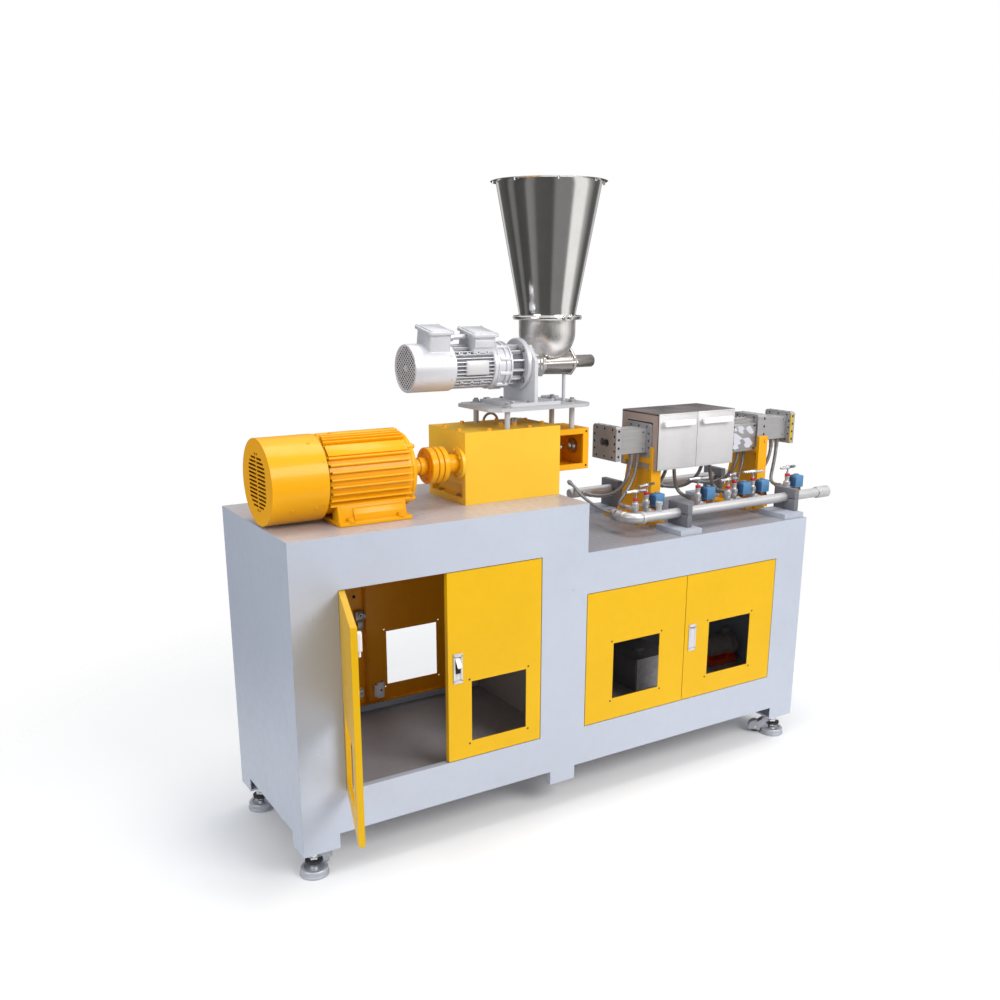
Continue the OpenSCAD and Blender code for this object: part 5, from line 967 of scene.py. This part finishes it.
def pipes():
    yf, zf = FRONT_PIPE
    yr, zr = REAR_PIPE
    xa, xe, r = 1238, 2060, PIPE_R
    p = Piece("coolant_lines", "machine", "pipe", "steel", "black_and_shade", axis="x", at=(0, yf, zf))
    # front pipe, open at the right end, and its socket there
    p.lathe([(xa, 12), (xa, r), (xe + 1, r), (xe + 1, 13.6), (xa, 13.6)], 48)
    p.lathe([(xe + a, b) for a, b in ((0, 14), (0, 19.8), (1.4, 21), (12, 21), (13, 20), (14, 20), (15, 21),
                                      (56, 21), (57, 19.8), (57, 13.8), (2, 13.6))], 48)
    # left union, elbow and its nut
    p.lathe([(xa + a, b) for a, b in ((-2, 16), (-2, 19.4), (0, 21), (10, 21), (12, 19.6), (12, 16))], 48)
    elbow = [(xa, yf, zf)] + [(xa - 38 * sind(t), 128 - 38 * cosd(t), zf) for t in range(6, 91, 7)]
    p.sweep(elbow + [(1200, 128 + 2 * k, zf) for k in range(0, 20, 3)], 17.3, 32)
    left = {"axis": "y", "at": (1200, 0, zf)}
    p.lathe([(124, 16.5), (125, 18.6), (134, 18.6), (135, 16.5)], 40, **left)
    p.bar("y", 1200, zf, 156, 168, 21, 6, 1.4, 1)
    p.lathe([(168, 0), (168, 18), (170, 20), (182, 20), (184, 17), (188, 17), (193, 12), (193, 0)], 40, 1, **left)
    # tap on the front pipe
    p.lathe([(10, 0), (10, 11), (18, 11), (19, 9), (34.8, 9), (34.8, 11), (36, 12), (45.6, 12), (46.8, 10.8),
             (46.8, 0)], 32, axis="z", at=(1313, yf, zf))
    p.bar("z", 1313, yf, zf + 46.4, zf + 46.7, 5, 20, 0, 2)
    # weld rings at the valves' sockets
    for x in [valve[0] for valve in VALVES]:
        ring = [(x + 9.6 * cosd(18 * k), yf + 14.6, zf + 9.6 * sind(18 * k)) for k in range(21)]
        p.sweep(ring, 1.5, 6, 0, False)
    # rear pipe with its cap and sockets
    p.lathe([(1215, 0), (1215, r - 1.5), (1216.5, r), (xe, r), (xe, 13.6), (1221, 13.6), (1221, 0)], 48,
            at=(0, yr, zr))
    for i in range(5):
        x = BARREL_X + i * SECTION + 48
        p.bar("y", x, zr, 433.2, 450, 8, 20, 0.8)
        p.bar("y", x, zr, 440, 447, 10.5, 6, 0.8, 1)
    p.done("coolant_pipes")

    c = Piece("clamp_blocks", "machine", "clamp", "steel")
    for x in (1406, 1908):
        for y, z in (FRONT_PIPE, REAR_PIPE):
            # lower and upper half, split at the pipe's axis
            for s, end, turn in ((-1, 767, 180), (1, z + r + 18, 0)):
                bore = [q for q in arc(y, z, r + 0.1, turn, turn + 180, 20) if s * (q[1] - z) > 0.5]
                split = z + s * 0.5
                corners = [(y + s * 49, split), (y + s * 49, end), (y - s * 49, end), (y - s * 49, split)]
                c.prism(corners + bore[::-1], "x", x - 10, 20, 1.0)
            for s in (-1, 1):
                c.bar("z", x, y + s * 36, z + r + 17.6, z + r + 17.9, 4, 16, 0, 1)
    c.done("pipe_clamps")


# ---- coupling, gearbox, platform and barrel

def coupling():
    c = Piece("coupling_discs", "drive", "drive", "drive_dark", "steel", axis="x", at=(0, *DRIVE_AXIS))
    c.lathe([(508, 18), (508, 52), (510, 54), (527, 54), (528, 52.6), (528, 49.5), (531, 49.5), (531, 52.6), (532, 54),
             (545, 54), (546, 52.6), (546, 49.5), (549, 49.5), (549, 52.6), (550, 54), (564, 54), (566, 52),
             (566, 28), (637, 28), (637, 18)], 96, ring=True)
    for p in around(508, DRIVE_AXIS, 40, 6, 12):
        c.hexhead(p, -X, 4.6, 5, 0, 1)
        c.rod(p + 58 * X, p + 62 * X, 4.6, 6, 0.8, 1)
    c.rod((484, *DRIVE_AXIS), (508, *DRIVE_AXIS), 26, 48, 2)
    c.rod((438.6, *DRIVE_AXIS), (486, *DRIVE_AXIS), 22.5, 48, 1.5)
    c.done("coupling")


def gearbox_trim():
    g = Piece("gearbox_bolts", "machine", "drive", "black_and_shade", "steel", "drive_dark")
    # ring flange of the input with its bolts
    for p in around(609.8, DRIVE_AXIS, 41, 6, 20):
        g.hexhead(p, -X, 4.8, 4.5)
    # corner screws and bolt holes of the lantern's open face, in black: painted shade in the holes
    for z in (982, 1091):
        for x in (972, 1090):
            g.bar("y", x, z, 200.4, 199.4, 3.4, 16, 0.2, 1)
    for x in (1000, 1020, 1040, 1060):
        for z in (996, 1077):
            g.bar("y", x, z, 341, 330.8, 2.4, 12, 0.2, 1)
    g.done()


def platform_trim():
    p = Piece("platform_fixings", "machine", "steel", "black_and_shade")
    # nuts on the posts, socket screws in the slab with a black hexagon in each socket as painted shade
    for x, y in ((777, 178), (777, 364), (1042, 215), (1042, 327)):
        p.bar("z", x, y, 1186, 1187.6, 15, 24, 0.5)
        p.bar("z", x, y, 1187.4, 1194.4, 12.2, 6, 1)
        p.bar("z", x, y, 1194, 1200, 7, 20, 1)
    for x in (802, 862, 962):
        for y in (192, 350):
            p.bar("z", x, y, 1196, 1201, 5.5, 20, 0.7)
            p.bar("z", x, y, 1200.8, 1201.15, 2.75, 6, 0.0, 1)
    p.done()


def barrel_trim():
    b = Piece("barrel_screws", "machine", "black_and_shade", "steel", "flange_edge")
    y, z = BARREL_AXIS
    # socket screws in the flanges' sides
    for k in range(6):
        x = BARREL_X + SECTION * k + (11 if k < 5 else -11)
        for s in (-1, 1):
            for dz in (-42, -14, 14, 42):
                b.bar("y", x, z + dz, y + s * 64.2, y + s * 60, 4.6, 16, 0.3)
        for dy in (-48, -16, 16, 48):
            b.bar("z", x, y + dy, z + 57.7, z + 54, 4.6, 16, 0.3)
    # painted shade: black plugs for the dark inside of the twelve open holes of the inlet face
    holes = [(dy * 42.24, s * 46) for s in (-1, 1) for dy in (-1, 0, 1)]
    holes += [(s * 53.76, dz * 24.15) for s in (-1, 1) for dz in (-1, 0, 1)]
    for dy, dz in holes:
        b.bar("x", y + dy, z + dz, 1219.2, 1222, 4.4, 16, 0.1)
    # sprayed edge of the last flange
    b.box((2028.6, y - 64.15, z - 54), (2043, y - 63.4, z + 50), 0.1, 1, 2)
    b.done()


# ---- casters, doors and latches

def caster(s):
    """Levelling caster with its foot at the origin."""
    s.lathe([(-84, 0), (-84, 40), (-82.6, 42), (-77, 42), (-75, 39.6), (-63, 39.4), (-60.5, 37.5), (-60, 35),
             (-60, 29), (-63, 27), (-64, 24), (-64, 0)])
    for k in range(10):
        x, y = polar(0, 0, 38.2, 40 + 36 * k)
        s.box((x - 1.2, y - 1.2, -73), (x + 1.2, y + 1.2, -63.5), 0.5)
    s.lathe([(-64, 13), (-45, 12), (-36, 12), (-6, 12), (-6, 0)], 32, 2)
    s.prism([polar(0, 0, 26 if k % 2 else 24.4, 7.5 * k) for k in range(48)], "z", -44, 7, 0.0, 1, 1)
    s.lathe([(-5.3, 0), (-5.3, 28), (-4.2, 30), (-1.2, 30), (-0.3, 29), (-0.3, 0)], 48, 2)
    s.lathe([(-36, 12), (-34, 18), (-28, 18), (-26, 12)], 6, 2)
    # wheel cover: cheeks, crown and the arm to the foot
    cheek = [polar(62, -60, 24, a) for a in range(-25, 116, 10)]
    cheek += [(30, -20), (14, -19), (14, -60), (40, -62), (44, -73)]
    for y in (-14, 10.7):
        s.prism(cheek, "y", y, 3.3, 1.2)
    crown = [polar(62, -60, 25, a) for a in range(-20, 111, 10)]
    s.prism(crown + [polar(62, -60, 21.8, a) for a in range(110, -21, -10)], "y", -12, 24)
    s.box((12, -12.4, -50), (37, 12.4, -20), 3)
    for side in (-1, 1):
        s.bar("y", 62, -60, side * 13.4, side * 15.2, 8, 24, 1)
        s.bar("y", 62, -60, side * 15.0, side * 15.6, 4, 6, 0.3, 2)


def casters():
    for i, (x, y, turn) in enumerate(((45, 45, 40), (1875, 45, 140), (45, 498, -40), (1875, 498, 220))):
        body = "caster_%d" % (i + 1)
        c = Piece("caster_shell_%d" % (i + 1), body, "alu", "nylon", "chrome")
        c.turned(caster, place((x, y, 0), turn))
        c.done(body)


def latches():
    w, h = 15.4, 46.4
    for name, cx, cz in (("front_door_2", 496.75, 465), ("front_door_4", 1404.75, 395)):
        p = Piece("latch_frame_" + name[-1], name, "latch", "black_and_shade")
        for za, zb in ((cz + 36, cz + h), (cz - h, cz - 36)):
            p.prism(rounded(cx - w, za, cx + w, zb, 2), "y", -3.5, 3.3, 0.5)
        for xa, xb in ((cx - w, cx - 9.2), (cx + 9.2, cx + w)):
            p.box((xa, -3.5, cz - 40), (xb, -0.2, cz + 40), 0.5)
        for dz in (41.5, -41.5):
            p.bar("y", cx, cz + dz, -3.3, -4.4, 2.4, 16, 0.5)
        # black plate behind the latch's opening: painted shade inside the door
        p.box((cx - 8.6, 13.4, cz - 35.6), (cx + 8.6, 14, cz + 35.6), 0.2, 1, 1)
        if name == "front_door_2":
            # pocket under the short flap of this latch, with a black floor as painted shade
            p.box((cx - 8.9, -2.2, cz - 35.8), (cx + 8.9, -0.4, cz - 16), 0.5)
            p.box((cx - 8.9, 1.0, cz - 18), (cx + 8.9, 3.0, cz + 4), 0.4, 1, 1)
        p.done()

    def flap(s):
        s.prism(rounded(-8.2, -31, 8.2, 1.6, 2.2), "y", -4.6, 3.2, 0.9)
        s.bar("x", 0, 0, -10, 10, 1.9, 16, 0.4)
    # short flap of the first latch, hanging from the paddle's pin
    f = Piece("latch_flap_1", "latch_paddle_1", "latch")
    f.turned(flap, place((496.75, 2, 495), -30, "X"))
    f.done("latch_paddle_1")


def bolts(s, x, y, out, base):
    """The two blocks of the shoot bolts and their rods, near a leaf's free edge x; out points off the leaf."""
    for z in (base + 30, base + 527):
        s.box((x - 30.5, min(y, y + 14.8 * out), z - 0.5), (x - 13.5, max(y, y + 14.8 * out), z + 26.5), 1.6, 3)
        s.bar("z", x - 22, y + 8.9 * out, z - 8, z + 34, 3.4, 16, 1)
        if out > 0:
            s.box((x - 26, 16, z + 4), (x - 18, 16.9, z + 22), 0.4)
        else:
            s.bar("y", x - 22, z + 13, 526.7, 525.7, 3, 16, 0.4, 2)


def leaf_bolts():
    """Bolts and locks on the back of the open front leaf and of both rear leaves."""
    w = 323.75

    def front(s):
        bolts(s, w, 1.6, 1, 0)
        # taller housing of the upper bolt, proud of the leaf
        s.box((w - 31, 9, 517), (w - 13, 29, 565), 2.2, 3)
        s.bar("z", w - 22, 22, 501, 519, 4, 16, 1)
        s.box((w - 25, 28.6, 533), (w - 19, 29.8, 547), 0.5, 2, 2)
    p = Piece("leaf_bolts", "front_door_1", "handle_coat", "steel", "red")
    p.turned(front, place((143.5, 5, 173.5), -108, "Z", (-5, -5, 0)))
    p.done()
    q = Piece("rear_leaf_bolts", "rear_door_1", "handle_coat", "steel", "red", "black_and_shade")
    bolts(q, 118.5 + w, 541.4, -1, 173.5)
    # cam lock at half height and a screw above it
    q.box((408, 524, 474), (436, 541, 508), 2.4, 3, 1)
    q.bar("y", 424, 494, 524.5, 519, 9, 24, 1, 1)
    # black hexagon in the lock's key hole: painted shade
    q.bar("y", 424, 494, 519.2, 518.4, 4, 6, 0.2, 3)
    q.box((414, 520, 446), (434, 526, 476), 1.6, 2, 1)
    q.box((434, 520, 482), (443, 524, 500), 1.4, 2, 1)
    q.bar("y", 411, 556, 541, 538.5, 5.5, 20, 0.6, 3)
    q.done()
    # second block of the shoot bolts, with its red dot, on the other leaf
    d = Piece("rear_leaf_catch", "rear_door_2", "handle_coat", "steel", "red")
    d.box((470, 529, 192), (482, 541, 232), 1.6, 3)
    d.box((480.5, 526.6, 186), (505, 541, 240), 2.0, 3)
    d.bar("y", 493, 214, 526.8, 525.8, 4.2, 20, 0.4, 2)
    d.bar("z", 488, 531, 182, 188, 3, 16, 0.6, 1)
    d.bar("z", 498, 531, 238, 246, 3, 16, 0.6, 1)
    d.done()


def small_screws():
    """Dark screws in the window corners of the closed doors, and dowels in the cabinet's front."""
    windows = (("front_door_2", 536.1, 743.1, 218, 423), ("front_door_3", 1062.9, 1269.9, 238, 443),
               ("front_door_4", 1473.1, 1680.1, 238, 443))
    for name, xa, xb, za, zb in windows:
        p = Piece("window_screws_" + name[-1], name, "dark_brown", "black_and_shade")
        for x in (xa, xb):
            for z in (za, zb):
                p.bar("y", x, z, 1.0, -0.5, 3.5, 20, 0.5)
        p.done()
    c = Piece("cabinet_dowels", "machine", "chrome")
    for x, z in ((60, 690), (62, 300), (905, 640)):
        c.bar("y", x, z, 0.4, -1.1, 2.2, 16, 0.6)
    c.done()


loose_hose()
main_motor()
feeder_motor()
feeder_reducer()
hopper()
bowl()
clamp_ring()
cover(1)
cover(2)
junction()
valves()
cooling_hoses()
pipes()
coupling()
gearbox_trim()
platform_trim()
barrel_trim()
casters()
latches()
leaf_bolts()
small_screws()


# ---- floor, world and lights

def stage_floor():
    s = 14.0
    me = bpy.data.meshes.new("floor")
    me.from_pydata([(-s, -s, 0), (s, -s, 0), (s, s, 0), (-s, s, 0)], [], [(0, 1, 2, 3)])
    o = add_object("floor", me)
    n = Nodes("floor_paint")
    c = n.tones(n.noise(n.coord(), 1.2, 3.0), (0.93, 0.93, 0.93), (0.96, 0.96, 0.96))
    solid = n.new("BsdfPrincipled", _Base_Color=c, _Roughness=0.7, _Coat_Roughness=0.1, _Specular_IOR_Level=0.2)
    # the floor fades into the white backdrop away from the machine
    x, y, z = n.xyz()
    far = n.math("SQRT", n.math("ADD", n.math("MULTIPLY", x, x), n.math("MULTIPLY", y, y)))
    fade = n.blend(n.span(far, 0.0, 1.0, 1.25, 2.4), solid, n.new("BsdfTransparent"))
    me.materials.append(n.finish(fade))


# Walls of the studio round the machine: (part of a turn, brightness)
WALLS = ((0.0, 0.06), (0.035, 0.07), (0.05, 0.70), (0.085, 0.75), (0.10, 0.12), (0.20, 0.06), (0.22, 0.20),
         (0.25, 0.18), (0.265, 0.06), (0.335, 0.07), (0.352, 0.26), (0.392, 0.20), (0.41, 0.09), (0.52, 0.08),
         (0.54, 0.24), (0.648, 0.22), (0.664, 1.0), (0.748, 1.0), (0.77, 0.46), (0.805, 0.22), (0.83, 0.10),
         (0.885, 0.12), (0.90, 0.60), (0.94, 0.65), (0.955, 0.08), (1.0, 0.06))
WALLS_START = 0.0875


def world():
    """White backdrop, even light from all sides, and walls and a roof that are seen only in what shines."""
    scene.world = bpy.data.worlds.new("studio")
    n = Nodes("studio", scene.world)
    x, y, z = n.xyz("Generated")
    turn = n.math("DIVIDE", n.math("ARCTAN2", x, y), 2 * math.pi)
    turn = n.math("FRACT", n.math("SUBTRACT", WALLS_START, turn))
    walls = n.ramp(turn, [(at, (g, g, g)) for at, g in WALLS])
    shine = n.new("Background", _Color=n.mix(n.span(z, 0.0, 1.0, 0.30, 0.62), walls, (0.92, 0.92, 0.93)))
    even = n.new("Background", _Color=(0.94, 0.96, 1.0), _Strength=0.62)
    backdrop = n.new("Background", _Color=(1.0, 1.0, 1.0))
    path = n.new("LightPath").outputs
    lit = n.blend(path["Is Glossy Ray"], even, shine)
    n.finish(n.blend(n.math("MAXIMUM", path["Is Camera Ray"], path["Is Transmission Ray"]), lit, backdrop))


def area(name, at, size, watts, color):
    """Soft light at a point in metres, aimed at the machine."""
    d = bpy.data.lights.new(name, "AREA")
    d.shape = "RECTANGLE"
    d.size, d.size_y = size
    d.energy = watts
    d.color = color
    o = add_object(name, d)
    o.location = at
    o.rotation_mode = "QUATERNION"
    o.rotation_quaternion = (Vector(at) - Vector((0, 0, 0.9))).to_track_quat("Z", "Y")
    o.visible_camera = False


stage_floor()
world()
area("key", (1.2, -4.2, 3.6), (3.0, 2.2), 182, (1.0, 0.99, 0.97))
area("side", (-4.5, -1.0, 2.6), (2.0, 2.0), 60, (0.95, 0.98, 1.0))
area("top", (0.2, 0.2, 4.6), (2.6, 1.6), 70, (1, 1, 1))
